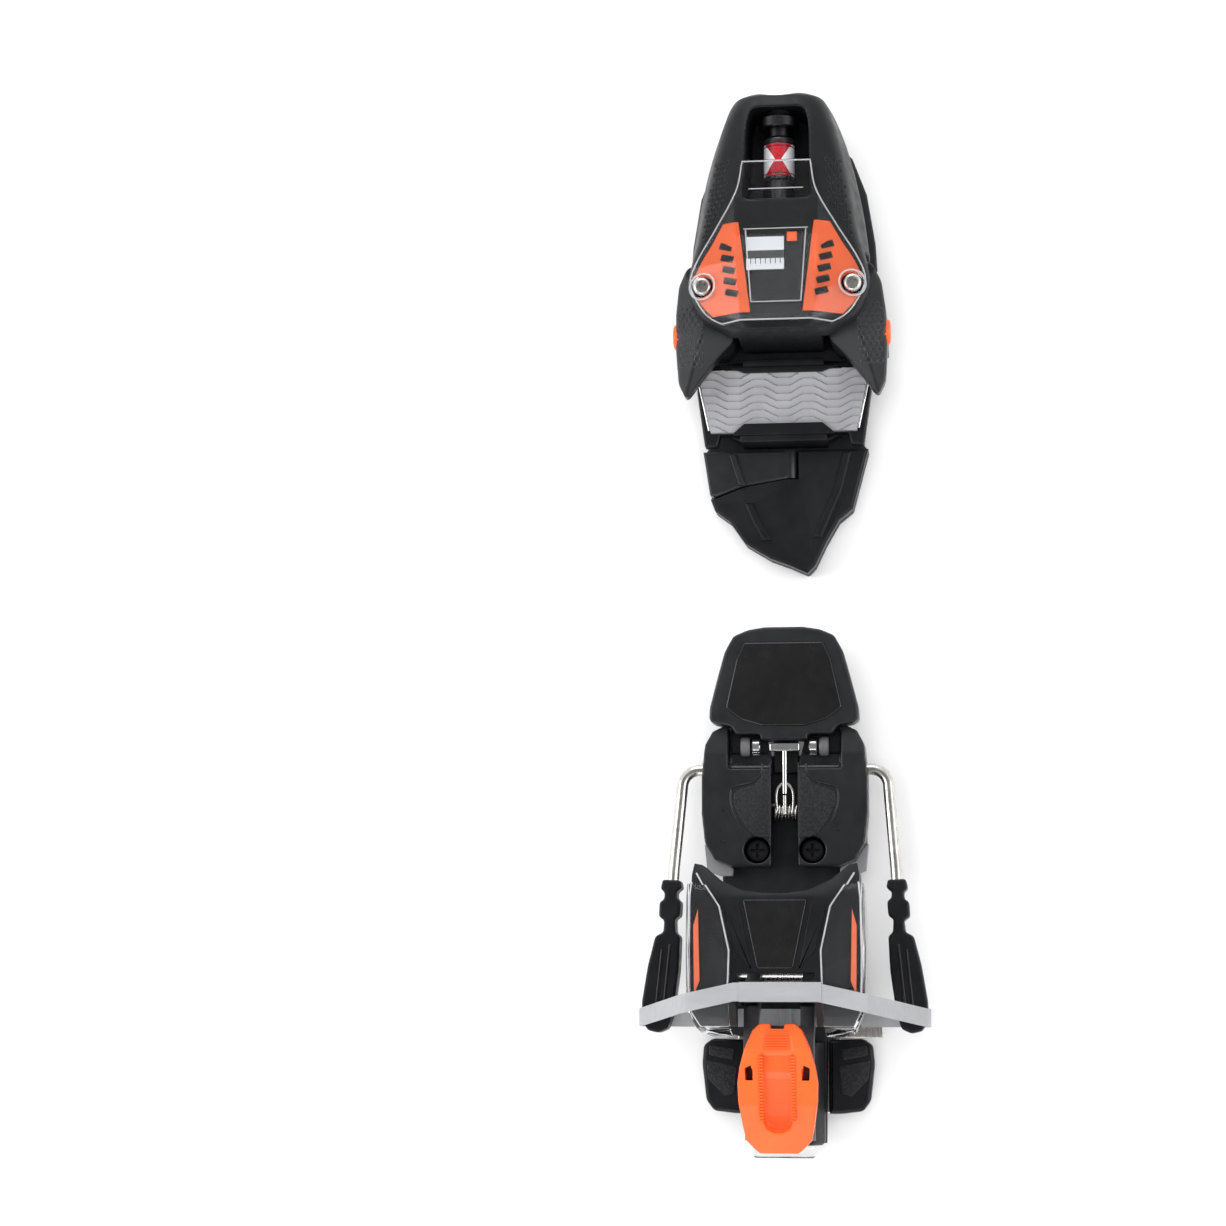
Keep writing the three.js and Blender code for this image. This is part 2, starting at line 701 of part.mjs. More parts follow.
// Clear skin over one side of the cup's top, open below.
function cupCover(side) {
  const keep = prism("z", onSide([
    [-237.5, 26], [-237.5, 60], [-300, 60], [-300, 17.6], [-262, 16.4], [-246, 20],
  ], side), 48, 90);
  const within = overlap(
    prism("z", cupPlan(GAP), 5, 90),
    prism("y", [...cupProfile(GAP).slice(0, 5), [-291.9, 5], [-228, 5]], -60, 60),
  );
  return cut(overlap(cupBlock(1.5, 1.5), keep), within);
}

const cupAxle = () => rod("y", AXLE.r, [AXLE.x, AXLE.z], -30.9, 30.9, 24);

function leverArms() {
  const arm = prism("y", [
    [-266.4, 31], [-267.6, 39], [-275, 49], [-282, 57.6], [-290, 58.4], [-299, 60],
    [-316, 57.6], [-331, 52.6], [-331, 50.4], [-314, 53.6], [-296, 54], [-287, 47],
    [-279, 34], [-274, 28], [-270, 28],
  ], -13, 13);
  return cut(
    arm,
    box(-289, -250, -8, 8, 0, 90),
    rod("y", AXLE.r + 0.05, [AXLE.x, AXLE.z], -60, 60, 24),
  );
}

const CAP_PLAN = mirrored([
  [-288.4, 6.6], [-290.6, 9], [-297, 11.8], [-304, 13.8], [-310, 14.7], [-317, 14.4],
  [-325, 13.2], [-330.8, 12], [-334.4, 8.6], [-335.6, 7],
]);
const capProfile = (drop) => [
  [-287, 66 - drop], [-298, 68.6 - drop], [-318, 65 - drop], [-337, 57.6 - drop],
];

function leverCap() {
  const side = [
    ...capProfile(0), [-337, 53], [-331, 53], [-316, 58], [-299, 60.4], [-291, 58.8],
    [-287, 58.8],
  ];
  const hollow = overlap(
    prism("z", mirrored([[-300, 6.4], [-321, 6.4], [-326.5, 4.4], [-328, 1.5]]), 20, 90),
    prism("y", [...capProfile(2.6), [-337, 90], [-287, 90]], -30, 30),
  );
  const eyes = [1, -1].map((s) =>
    prism("z", onSide([[-304, 9], [-308, 9], [-308, 11.4], [-306, 12]], s), 40, 90));
  return cut(
    overlap(prism("z", CAP_PLAN, 20, 90), prism("y", side, -30, 30)),
    hollow,
    ...eyes.map((e) => overlap(e, box(-312, -300, -20, 20, 64.6, 90))),
    prism("z", [[-286, -3], [-290.5, -2.4], [-290.5, 2.4], [-286, 3]], 20, 90),
  );
}

function springCase() {
  const arch = [
    [-14.4, 10], [-14.4, 20], [-10.6, 27.4], [-5, 31], [5, 31], [10.6, 27.4],
    [14.4, 20], [14.4, 10],
  ];
  return cut(
    prism("x", arch, -294.4, -333.6, { start: 0.8, end: 1 }),
    rod("x", 8.2, [0, CASE_Z + 2], -296.5, -340, 24),
    box(-335, -298, -4.7, 4.7, 0, 11.8),
  );
}

const heelSpring = () => coil(-299, -328.6, 6.3, 1.1, 7, [0, CASE_Z + 2]);

const heelScrew = () =>
  cut(
    join(
      rod("x", 7.6, [0, CASE_Z + 2], -330.4, -334.4, 24, { end: 0.6 }),
      rod("x", 3.2, [0, CASE_Z + 2], -297.6, -331, 14),
    ),
    box(-340, -332.6, -0.7, 0.7, CASE_Z - 1.4, CASE_Z + 5.4),
    box(-340, -332.6, -3.4, 3.4, CASE_Z + 1.3, CASE_Z + 2.7),
  );

const scaleWindow = () =>
  prism("x", [
    [-11.6, 28.2], [-11.6, 33], [-9.6, 34.6], [9.6, 34.6], [11.6, 33], [11.6, 28.2],
  ], -333.9, -338, { end: 0.6 });

function rearPad(side) {
  return prism("z", onSide([
    [-294, 15.6], [-293.4, 29], [-296, 32.6], [-303, 33.2], [-317, 31.6], [-321, 28.6],
    [-322, 20], [-322, 15.6],
  ], side), CARRIAGE.low, 10.6, { end: 0.9 });
}

const sideStrip = () => box(-293, -281.6, -36.6, -19, 9.9, 11.5);

// Loop band: over the cup, round both brake paddles and back under the cup.
function transportBand() {
  const outer = twoSided([
    [18, 78.9], [32.6, 78.9], [33.8, 77.6], [55.2, 33.4], [55.4, 20], [54.4, 18.7],
    [30, 18.7],
  ]);
  const inner = twoSided([
    [18, 78.1], [32.3, 78.1], [33.1, 77.2], [54.5, 33.2], [54.6, 20.3], [54, 19.5],
    [30, 19.5],
  ]);
  const ring = (outline, x) => outline.map(([y, z]) => [x, y, z]);
  const loop = cut(
    stack([ring(outer, -280.6), ring(outer, -273.6)], VIEWS.x.flat),
    stack([ring(inner, -290), ring(inner, -260)], VIEWS.x.flat),
  );
  const p = loop.attributes.position;
  for (let i = 0; i < p.count; i++) {
    const [y, z] = [Math.abs(p.getY(i)), p.getZ(i)];
    const slant = z < 70 ? 1 : THREE.MathUtils.clamp((y - 36) / 20, 0, 1);
    p.setX(i, p.getX(i) - 8.6 * slant);
  }
  return loop;
}

function buildHeel() {
  add("heel_track", heelTrack(), "steel");
  add("heel_carriage", carriage(), "black_plastic");
  add("length_screw", lengthScrew(), "dark_steel");
  for (const [name, side] of [["left", 1], ["right", -1]]) {
    add("brake_housing_" + name, brakeHousing(side), "satin_plastic");
    add("housing_screw_" + name, housingScrew(side), "dark_steel");
    add("brake_roller_" + name, brakeRoller(side), "steel");
    add("brake_arm_" + name, brakeArm(side), "steel");
    add("brake_paddle_" + name, brakePaddle(side), "black_plastic");
    add("cup_cover_" + name, cupCover(side), "clear_plastic");
    add("rear_pad_" + name, rearPad(side), "black_plastic");
  }
  add("brake_pad", brakePad(), "satin_plastic");
  add("brake_link", brakeLink(), "steel");
  add("brake_spring", brakeSpring(), "steel");
  add("cup_housing", cupHousing(), "black_plastic");
  add("cup_axle", cupAxle(), "steel");
  add("lever_arms", leverArms(), "aluminium");
  add("lever_cap", leverCap(), "orange_plastic");
  add("heel_spring_case", springCase(), "black_plastic");
  add("heel_release_spring", heelSpring(), "dark_steel");
  add("heel_release_screw", heelScrew(), "dark_steel");
  add("heel_scale_window", scaleWindow(), "clear_plastic");
  add("side_strip", sideStrip(), "steel");
  add("transport_band", transportBand(), "band");
}

buildToe();
buildHeel();
export default root;
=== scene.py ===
"""Looks of an alpine ski binding: toe unit and heel unit, in the CAD frame."""
import json
import math
import bmesh
import bpy
from mathutils import Matrix, Vector

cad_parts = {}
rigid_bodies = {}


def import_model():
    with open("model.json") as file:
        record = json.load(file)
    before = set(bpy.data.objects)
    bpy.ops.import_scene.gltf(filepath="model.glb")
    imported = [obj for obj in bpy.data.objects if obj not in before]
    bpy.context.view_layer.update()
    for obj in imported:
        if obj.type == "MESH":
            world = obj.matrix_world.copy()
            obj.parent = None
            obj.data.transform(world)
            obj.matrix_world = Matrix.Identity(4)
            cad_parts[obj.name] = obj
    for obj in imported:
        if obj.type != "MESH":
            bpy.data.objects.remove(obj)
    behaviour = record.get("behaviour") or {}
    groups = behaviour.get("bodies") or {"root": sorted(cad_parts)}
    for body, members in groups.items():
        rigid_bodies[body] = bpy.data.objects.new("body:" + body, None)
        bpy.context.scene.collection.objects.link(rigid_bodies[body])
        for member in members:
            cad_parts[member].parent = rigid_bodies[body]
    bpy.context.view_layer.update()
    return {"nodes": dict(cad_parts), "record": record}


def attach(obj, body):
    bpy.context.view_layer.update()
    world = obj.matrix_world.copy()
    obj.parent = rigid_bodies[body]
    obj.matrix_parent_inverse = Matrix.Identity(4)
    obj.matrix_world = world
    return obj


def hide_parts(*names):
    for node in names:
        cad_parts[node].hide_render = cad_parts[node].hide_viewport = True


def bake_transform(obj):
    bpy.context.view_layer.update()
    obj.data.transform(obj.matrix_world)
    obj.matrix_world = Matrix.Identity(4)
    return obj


for leftover in list(bpy.data.objects):
    bpy.data.objects.remove(leftover)
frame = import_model()
NODES = frame["nodes"]
BODY = {n: b for b, ns in frame["record"]["behaviour"]["bodies"].items() for n in ns}
SLOT = {s["node"]: s["material_slot"] for s in frame["record"]["subparts"]}
MM = 0.001
SIDES = ((1, "left"), (-1, "right"))


# ---------- finishes ----------

class Finish:
    """One node material: a principled shader and helpers that wire patterns into it."""

    def __init__(self, name):
        self.mat = bpy.data.materials.new(name)
        self.mat.use_nodes = True
        self.tree = self.mat.node_tree
        self.tree.nodes.clear()
        self.out = self.add("ShaderNodeOutputMaterial")
        self.shader = self.add("ShaderNodeBsdfPrincipled")
        self.link(self.shader.outputs[0], self.out.inputs["Surface"])
        self.place = self.add("ShaderNodeTexCoord").outputs["Object"]
        self.height = None

    def add(self, kind, **settings):
        node = self.tree.nodes.new(kind)
        for key, value in settings.items():
            setattr(node, key, value)
        return node

    def link(self, a, b):
        self.tree.links.new(a, b)

    def set(self, **values):
        for key, value in values.items():
            self.shader.inputs[key.replace("_", " ")].default_value = value
        return self

    def stretched(self, scale):
        m = self.add("ShaderNodeMapping")
        m.inputs["Scale"].default_value = scale
        self.link(self.place, m.inputs["Vector"])
        return m.outputs[0]

    def axis(self, letter):
        split = self.add("ShaderNodeSeparateXYZ")
        self.link(self.place, split.inputs[0])
        return split.outputs[letter]

    def noise(self, scale, detail=3, rough=0.6, stretch=None):
        n = self.add("ShaderNodeTexNoise")
        n.inputs["Scale"].default_value = scale
        n.inputs["Detail"].default_value = detail
        n.inputs["Roughness"].default_value = rough
        self.link(self.stretched(stretch) if stretch else self.place, n.inputs["Vector"])
        return n.outputs["Fac"]

    def cells(self, scale, feature="F1"):
        n = self.add("ShaderNodeTexVoronoi", feature=feature)
        n.inputs["Scale"].default_value = scale
        self.link(self.place, n.inputs["Vector"])
        return n.outputs["Distance"]

    def ramp(self, value, low, high, out_low=0.0, out_high=1.0):
        r = self.add("ShaderNodeMapRange")
        for key, v in (("From Min", low), ("From Max", high), ("To Min", out_low),
                       ("To Max", out_high)):
            r.inputs[key].default_value = v
        self.link(value, r.inputs["Value"])
        return r.outputs[0]

    def math(self, op, a, b):
        m = self.add("ShaderNodeMath", operation=op)
        for socket, v in zip(m.inputs, (a, b)):
            if isinstance(v, (int, float)):
                socket.default_value = v
            else:
                self.link(v, socket)
        return m.outputs[0]

    def between(self, value, low, high):
        """1 where a length in millimetres lies between two others."""
        above = self.math("GREATER_THAN", value, low * MM)
        return self.math("MULTIPLY", above, self.math("LESS_THAN", value, high * MM))

    def blend(self, factor, a, b):
        m = self.add("ShaderNodeMix", data_type="RGBA")
        if isinstance(factor, (int, float)):
            m.inputs["Factor"].default_value = factor
        else:
            self.link(factor, m.inputs["Factor"])
        for socket, v in ((m.inputs[6], a), (m.inputs[7], b)):
            if isinstance(v, tuple):
                socket.default_value = (*v, 1)
            else:
                self.link(v, socket)
        return m.outputs[2]

    def colour(self, source):
        self.link(source, self.shader.inputs["Base Color"])

    def roughness(self, source):
        self.link(source, self.shader.inputs["Roughness"])

    def bump(self, source, depth, strength=1.0):
        b = self.add("ShaderNodeBump")
        b.inputs["Distance"].default_value = depth
        b.inputs["Strength"].default_value = strength
        self.link(source, b.inputs["Height"])
        if self.height:
            self.link(self.height, b.inputs["Normal"])
        self.height = b.outputs[0]
        self.link(self.height, self.shader.inputs["Normal"])


def dark_and_light(colour, spread):
    low = tuple(c * (1 - spread) for c in colour)
    high = tuple(min(1, c * (1 + spread)) for c in colour)
    return low, high


def moulded(name, colour, rough, grain=2600, depth=0.00003, spread=0.25, gloss=0.3):
    """Moulded plastic: fine spark-eroded grain, slow tone drift, dust and small rubs."""
    f = Finish(name).set(IOR=1.48, Specular_IOR_Level=gloss)
    low, high = dark_and_light(colour, spread)
    tone = f.blend(f.ramp(f.noise(60, 4), 0.35, 0.65), low, high)
    dust = f.ramp(f.noise(700, 6, 0.75), 0.68, 0.82, 0.0, 0.05)
    f.colour(f.blend(dust, tone, (0.32, 0.31, 0.29)))
    f.roughness(f.ramp(f.noise(220, 5), 0.3, 0.7, rough - 0.07, rough + 0.09))
    f.bump(f.cells(grain), depth, 0.5)
    f.bump(f.noise(grain * 1.7, 3), depth * 0.6, 0.45)
    return f.mat


def coarse(name, colour, rough):
    """Leather-like cast grain on the raised panels."""
    f = Finish(name).set(IOR=1.48, Specular_IOR_Level=0.35)
    low, high = dark_and_light(colour, 0.35)
    grain = f.cells(1100)
    f.colour(f.blend(f.ramp(grain, 0.1, 0.6), high, low))
    f.roughness(f.ramp(f.noise(600, 4), 0.3, 0.7, rough - 0.08, rough + 0.1))
    f.bump(grain, 0.00016, 0.9)
    f.bump(f.noise(3200, 2), 0.00003, 0.4)
    return f.mat


def plated(name, colour, rough, along=(1, 1, 1), streak=900, spread=0.12):
    """Metal with fine lay marks, faint stains and light pitting."""
    f = Finish(name).set(Metallic=1.0)
    low, high = dark_and_light(colour, spread)
    f.colour(f.blend(f.ramp(f.noise(180, 5), 0.35, 0.7), low, high))
    lay = f.noise(streak, 4, 0.6, along)
    f.roughness(f.ramp(lay, 0.3, 0.7, rough - 0.06, rough + 0.12))
    f.bump(lay, 0.00001, 0.5)
    f.bump(f.noise(3200, 3), 0.000006, 0.4)
    return f.mat


def clear(name, tint, rough=0.02):
    """Clear moulded polycarbonate: sharp gloss, faint flow lines and handling marks."""
    f = Finish(name).set(IOR=1.22, Transmission_Weight=1.0, Specular_IOR_Level=0.3)
    f.colour(f.blend(f.ramp(f.noise(90, 3), 0.4, 0.7), tint, tuple(c * 0.98 for c in tint)))
    f.roughness(f.ramp(f.noise(700, 5), 0.62, 0.85, rough, rough + 0.08))
    f.bump(f.noise(120, 2), 0.00001, 0.2)
    return f.mat


def frosted(name, colour, rough, through):
    """Milky plastic that lets some light through, with drawn streaks; it also whitens the beads
    that paint highlights on the cover edges.
    """
    f = Finish(name).set(Transmission_Weight=through, IOR=1.4)
    low, high = dark_and_light(colour, 0.05)
    f.colour(f.blend(f.ramp(f.noise(300, 4, 0.6, (1, 0.2, 1)), 0.35, 0.65), low, high))
    f.roughness(f.ramp(f.noise(500, 4), 0.3, 0.7, rough - 0.08, rough + 0.1))
    f.bump(f.noise(900, 3, 0.6, (1, 0.15, 1)), 0.00006, 0.5)
    return f.mat


def printed_barrel():
    """Black barrel with a red and white printed sleeve."""
    f = Finish("barrel print").set(IOR=1.48, Specular_IOR_Level=0.5)
    along, across = f.axis("X"), f.axis("Y")
    sleeve = f.between(along, 40.2, 53.2)
    cross = f.math("ABSOLUTE", f.math("SUBTRACT", along, 46.7 * MM), 0)
    width = f.math("ADD", f.math("MULTIPLY", cross, 0.62), 1.2 * MM)
    white = f.math("GREATER_THAN", f.math("ABSOLUTE", across, 0), width)
    red = f.blend(f.noise(500, 3), (0.40, 0.012, 0.02), (0.47, 0.016, 0.028))
    print_colour = f.blend(white, red, (0.74, 0.74, 0.76))
    edge = f.math("ADD", f.between(along, 40.9, 41.4), f.between(along, 52.0, 52.5))
    print_colour = f.blend(edge, print_colour, (0.02, 0.02, 0.022))
    f.colour(f.blend(sleeve, (0.012, 0.012, 0.013), print_colour))
    f.roughness(f.ramp(f.noise(400, 4), 0.3, 0.7, 0.22, 0.36))
    f.bump(f.noise(1800, 3), 0.00001, 0.4)
    return f.mat


def printed_plate():
    """White scale plate with a dark printed field."""
    f = Finish("scale plate print").set(IOR=1.48)
    along = f.axis("X")
    white = f.blend(f.noise(700, 4), (0.62, 0.64, 0.66), (0.72, 0.73, 0.75))
    f.colour(f.blend(f.between(along, 3.4, 6.6), white, (0.03, 0.032, 0.036)))
    f.roughness(f.ramp(f.noise(500, 3), 0.3, 0.7, 0.35, 0.5))
    f.bump(f.noise(2500, 2), 0.000006, 0.4)
    return f.mat


def side_stripe():
    """Clear side skin of the cup with an orange printed stripe."""
    f = Finish("stripe print").set(IOR=1.45)
    f.colour(f.blend(f.noise(300, 4), (0.66, 0.11, 0.03), (0.78, 0.15, 0.045)))
    f.roughness(f.ramp(f.noise(500, 3), 0.3, 0.7, 0.3, 0.45))
    f.bump(f.noise(2500, 2), 0.000008, 0.4)
    return f.mat


CHASSIS = moulded("chassis black", (0.0115, 0.012, 0.0135), 0.52)
SHELL = moulded("housing black", (0.0065, 0.0068, 0.008), 0.4, gloss=0.22)
SATIN = moulded("satin black", (0.0105, 0.011, 0.0125), 0.34, 3400, 0.00002, 0.2, 0.4)
GLOSS = moulded("glossy black", (0.0065, 0.0065, 0.007), 0.2, 3400, 0.000006, 0.2, 0.5)
GREY_SIDE = moulded("wing grey", (0.045, 0.046, 0.051), 0.4, 2400, 0.00002, 0.18, 0.4)
GRAINED = coarse("grained black", (0.016, 0.0165, 0.0185), 0.45)
ORANGE = moulded("lever orange", (0.90, 0.115, 0.018), 0.38, 3000, 0.00002, 0.06, 0.4)
INSERT = moulded("insert orange", (0.72, 0.095, 0.012), 0.42, 3000, 0.00001, 0.08, 0.4)
GREY = moulded("pad silver grey", (0.27, 0.27, 0.285), 0.34, 2800, 0.00001, 0.1, 0.5)
WASHER = moulded("washer grey", (0.10, 0.10, 0.105), 0.4, 2800, 0.00001, 0.1, 0.5)
LABEL = printed_plate()
BARREL = printed_barrel()
STRIPE = side_stripe()
STEEL = plated("zinc steel", (0.62, 0.61, 0.58), 0.24, (0.15, 1, 1))
CHROME = plated("bright steel", (0.80, 0.80, 0.80), 0.12, (1, 0.2, 1))
DARK_STEEL = plated("black steel", (0.05, 0.05, 0.055), 0.36)
ALLOY = plated("grey anodised", (0.13, 0.135, 0.145), 0.36, (1, 0.2, 1))
CLEAR = clear("clear cover", (0.97, 0.975, 0.985))
# Milky white for beads that paint highlights along the clear covers' edges.
HIGHLIGHT_BEAD = frosted("cover edge painted highlight", (0.86, 0.87, 0.90), 0.12, 0.7)
BAND = frosted("band milky", (0.50, 0.505, 0.525), 0.38, 0.45)

LOOK = {
    "chassis_plastic": CHASSIS, "black_plastic": SHELL, "satin_plastic": SATIN,
    "clear_plastic": CLEAR, "orange_plastic": ORANGE, "label": LABEL,
    "dark_steel": DARK_STEEL, "steel": STEEL, "aluminium": ALLOY, "grey_pad": GREY,
    "band_elastic": BAND,
}


# ---------- shape helpers: sizes in millimetres ----------

def new_object(name, mesh, mat):
    obj = bpy.data.objects.new(name, mesh)
    bpy.context.scene.collection.objects.link(obj)
    mesh.materials.clear()
    mesh.materials.append(mat)
    return obj


def baked(obj):
    """The object with its modifiers applied to its mesh."""
    bpy.context.view_layer.update()
    depsgraph = bpy.context.evaluated_depsgraph_get()
    mesh = bpy.data.meshes.new_from_object(obj.evaluated_get(depsgraph))
    old = obj.data
    obj.modifiers.clear()
    obj.data = mesh
    if not old.users:
        bpy.data.meshes.remove(old)
    return obj


def from_points(name, points, faces, mat, edges=()):
    mesh = bpy.data.meshes.new(name)
    mesh.from_pydata([tuple(c * MM for c in p) for p in points], list(edges), faces)
    mesh.update()
    return new_object(name, mesh, mat)


def outward(obj):
    """Doubles merged and faces turned outwards."""
    bm = bmesh.new()
    bm.from_mesh(obj.data)
    bmesh.ops.remove_doubles(bm, verts=bm.verts, dist=1e-7)
    bmesh.ops.recalc_face_normals(bm, faces=bm.faces)
    bm.to_mesh(obj.data)
    bm.free()
    return obj


def lofted(name, rings, mat):
    """Closed body through rings of equal counts."""
    n = len(rings[0])
    faces = [(r * n + i, r * n + (i + 1) % n, (r + 1) * n + (i + 1) % n, (r + 1) * n + i)
             for r in range(len(rings) - 1) for i in range(n)]
    last = (len(rings) - 1) * n
    faces += [tuple(reversed(range(n))), tuple(range(last, last + n))]
    return outward(from_points(name, [p for ring in rings for p in ring], faces, mat))


LIFT = {
    "x": lambda a, b, t: (t, a, b),
    "y": lambda a, b, t: (a, t, b),
    "z": lambda a, b, t: (a, b, t),
}


def inset(outline, d):
    """Outline moved inwards by d on every edge."""
    pts = [Vector(p) for p in outline]
    n = len(pts)
    area = sum(pts[i - 1].cross(pts[i]) for i in range(n))
    side = 1 if area > 0 else -1
    moved = []
    for i, p in enumerate(pts):
        u, v = (p - pts[i - 1]).normalized(), (pts[(i + 1) % n] - p).normalized()
        u, v = Vector((-u.y, u.x)) * side, Vector((-v.y, v.x)) * side
        k = d / max(0.4, 1 + u.dot(v))
        moved.append(tuple(p + (u + v) * k))
    return moved


def rounded(outline, reach, steps=5):
    """Outline with each corner turned into a curve that starts reach away from it."""
    pts = [Vector(p) for p in outline]
    n = len(pts)
    curve = []
    for i, p in enumerate(pts):
        a, b = pts[i - 1] - p, pts[(i + 1) % n] - p
        start = p + a.normalized() * min(reach, a.length * 0.49)
        end = p + b.normalized() * min(reach, b.length * 0.49)
        for k in range(steps + 1):
            t = k / steps
            curve.append(tuple(start * (1 - t) ** 2 + p * 2 * t * (1 - t) + end * t * t))
    return curve


def circle(r, centre, count=48):
    return [(centre[0] + r * math.cos(2 * math.pi * (i + 0.5) / count),
             centre[1] + r * math.sin(2 * math.pi * (i + 0.5) / count))
            for i in range(count)]


def on_side(outline, side):
    return [(a, side * b) for a, b in outline]


def both_halves(half):
    """A whole outline from its +Y half, for plans of (x, y)."""
    return list(half) + [(a, -b) for a, b in reversed(half)]


def moulding(name, axis, outline, low, high, mat, foot=0.0, brow=0.0, steps=4):
    """Prism of an outline with quarter-round edges at its low and high ends."""
    lift = LIFT[axis]

    def edge(radius, end, inwards):
        if not radius:
            return [(0.0, end)]
        turns = [math.pi / 2 * k / steps for k in range(steps + 1)]
        return [(radius * (1 - math.sin(a)), end + inwards * radius * (1 - math.cos(a)))
                for a in turns]

    rows = edge(foot, low, 1) + edge(brow, high, -1)[::-1]
    return lofted(name, [[lift(a, b, t) for a, b in inset(outline, d)] for d, t in rows], mat)


def block(x0, x1, y0, y1, z0, z1):
    return moulding("cutter", "z", [(x0, y0), (x1, y0), (x1, y1), (x0, y1)], z0, z1, SHELL)


def peg(axis, r, centre, low, high, count=64):
    return moulding("cutter", axis, circle(r, centre, count), low, high, SHELL)


def turned(name, axis, centre, profile, mat, count=64):
    """Body of revolution: profile rows of (place along the axis, radius)."""
    lift = LIFT[axis]
    rings = [[lift(a, b, t) for a, b in circle(r, centre, count)] for t, r in profile]
    return lofted(name, rings, mat)


def carve(obj, *tools, operation="DIFFERENCE"):
    """Tools cut from, or kept in common with, a body."""
    for tool in tools:
        m = obj.modifiers.new("cut", "BOOLEAN")
        m.operation, m.object, m.solver = operation, tool, "EXACT"
    baked(obj)
    for tool in tools:
        bpy.data.objects.remove(tool)
    return obj


def melted(obj, voxel=0.5, rounds=5, keep=1.0):
    """Knife-sharp joins melted into the small radii of a moulding."""
    skin = obj.modifiers.new("skin", "REMESH")
    skin.mode, skin.voxel_size = "VOXEL", voxel * MM
    soft = obj.modifiers.new("soften", "SMOOTH")
    soft.factor, soft.iterations = 0.5, rounds
    if keep < 1:
        thin = obj.modifiers.new("thin", "DECIMATE")
        thin.ratio = keep
    baked(obj)
    obj.data.shade_smooth()
    return obj


def merged_copy(node):
    """A CAD node's mesh with its doubles merged and its flat faces made whole."""
    bm = bmesh.new()
    bm.from_mesh(NODES[node].data)
    bmesh.ops.remove_doubles(bm, verts=bm.verts, dist=2e-6)
    bmesh.ops.dissolve_degenerate(bm, dist=2e-6, edges=bm.edges)
    bmesh.ops.dissolve_limit(bm, angle_limit=math.radians(1.2), verts=bm.verts,
                             edges=bm.edges, delimit=set())
    mesh = bpy.data.meshes.new(node)
    bm.to_mesh(mesh)
    bm.free()
    return mesh


def smooth(obj, angle=35):
    obj.data.shade_smooth()
    obj.data.set_sharp_from_angle(angle=math.radians(angle))
    return obj


def bevelled(obj, width, segments=2, angle=28):
    m = obj.modifiers.new("edges", "BEVEL")
    m.width = width * MM
    m.segments = segments
    m.limit_method = "ANGLE"
    m.angle_limit = math.radians(angle)
    m.use_clamp_overlap = True
    m.harden_normals = False
    m.miter_outer = "MITER_ARC"
    return obj


def give(obj, node, *more):
    """The finished piece rides with the body of the node that it stands for."""
    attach(obj, BODY[node])
    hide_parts(node, *more)
    MADE.update((node, *more))
    return obj


def fix(obj, body):
    """A small extra piece, fastened to a body."""
    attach(obj, body)
    return obj


def refined(node, width=0.4, segments=2, mat=None, angle=28):
    """A CAD piece with rounded edges in its finish."""
    obj = new_object(node + "_shaped", merged_copy(node), mat or LOOK[SLOT[node]])
    bevelled(obj, width, segments, angle)
    return give(smooth(baked(obj)), node)


MADE = set()


# ---------- geometry node trees ----------

FLOAT, WHOLE, VECTOR = "NodeSocketFloat", "NodeSocketInt", "NodeSocketVector"
OBJECT, MATERIAL = "NodeSocketObject", "NodeSocketMaterial"


class Growth:
    """A geometry node tree with named sizes; grow() gives the plain mesh that it makes."""

    def __init__(self, name, **sizes):
        self.tree = bpy.data.node_groups.new(name, "GeometryNodeTree")
        face = self.tree.interface
        face.new_socket("Geometry", in_out="INPUT", socket_type="NodeSocketGeometry")
        for key, kind in {**sizes, "Finish": MATERIAL}.items():
            face.new_socket(key, in_out="INPUT", socket_type=kind)
        face.new_socket("Geometry", in_out="OUTPUT", socket_type="NodeSocketGeometry")
        self.inlet = self.add("NodeGroupInput")
        self.outlet = self.add("NodeGroupOutput")

    def add(self, kind, wires=None, **settings):
        node = self.tree.nodes.new(kind)
        for key, value in settings.items():
            setattr(node, key, value)
        for key, value in (wires or {}).items():
            if isinstance(value, bpy.types.NodeSocket):
                self.tree.links.new(value, node.inputs[key])
            else:
                node.inputs[key].default_value = value
        return node

    def size(self, name):
        return self.inlet.outputs[name]

    def math(self, op, a, b=0.0):
        return self.add("ShaderNodeMath", {0: a, 1: b}, operation=op).outputs[0]

    def combine(self, x, y, z):
        return self.add("ShaderNodeCombineXYZ", {0: x, 1: y, 2: z}).outputs[0]

    def finish(self, geometry):
        real = self.add("GeometryNodeRealizeInstances", {"Geometry": geometry})
        set_mat = self.add("GeometryNodeSetMaterial",
                           {"Geometry": real.outputs[0], "Material": self.size("Finish")})
        self.tree.links.new(set_mat.outputs[0], self.outlet.inputs[0])
        return self

    def grow(self, name, mat, points=((0, 0, 0),), edges=(), **values):
        obj = from_points(name, points, [], mat, edges)
        m = obj.modifiers.new("growth", "NODES")
        m.node_group = self.tree
        for item in self.tree.interface.items_tree:
            if item.in_out == "INPUT" and item.name in values:
                m[item.identifier] = values[item.name]
            if item.in_out == "INPUT" and item.name == "Finish":
                m[item.identifier] = mat
        baked(obj)
        outward(obj)
        obj.data.materials.clear()
        obj.data.materials.append(mat)
        return smooth(obj, 40)


def bead_tree():
    """Round bead along the edges of a path."""
    g = Growth("bead along a path", Radius=FLOAT, Sides=WHOLE)
    path = g.add("GeometryNodeMeshToCurve", {"Mesh": g.size("Geometry")})
    ring = g.add("GeometryNodeCurvePrimitiveCircle",
                 {"Resolution": g.size("Sides"), "Radius": g.size("Radius")})
    tube = g.add("GeometryNodeCurveToMesh", {
        "Curve": path.outputs[0], "Profile Curve": ring.outputs[0], "Fill Caps": True})
    return g.finish(tube.outputs[0])


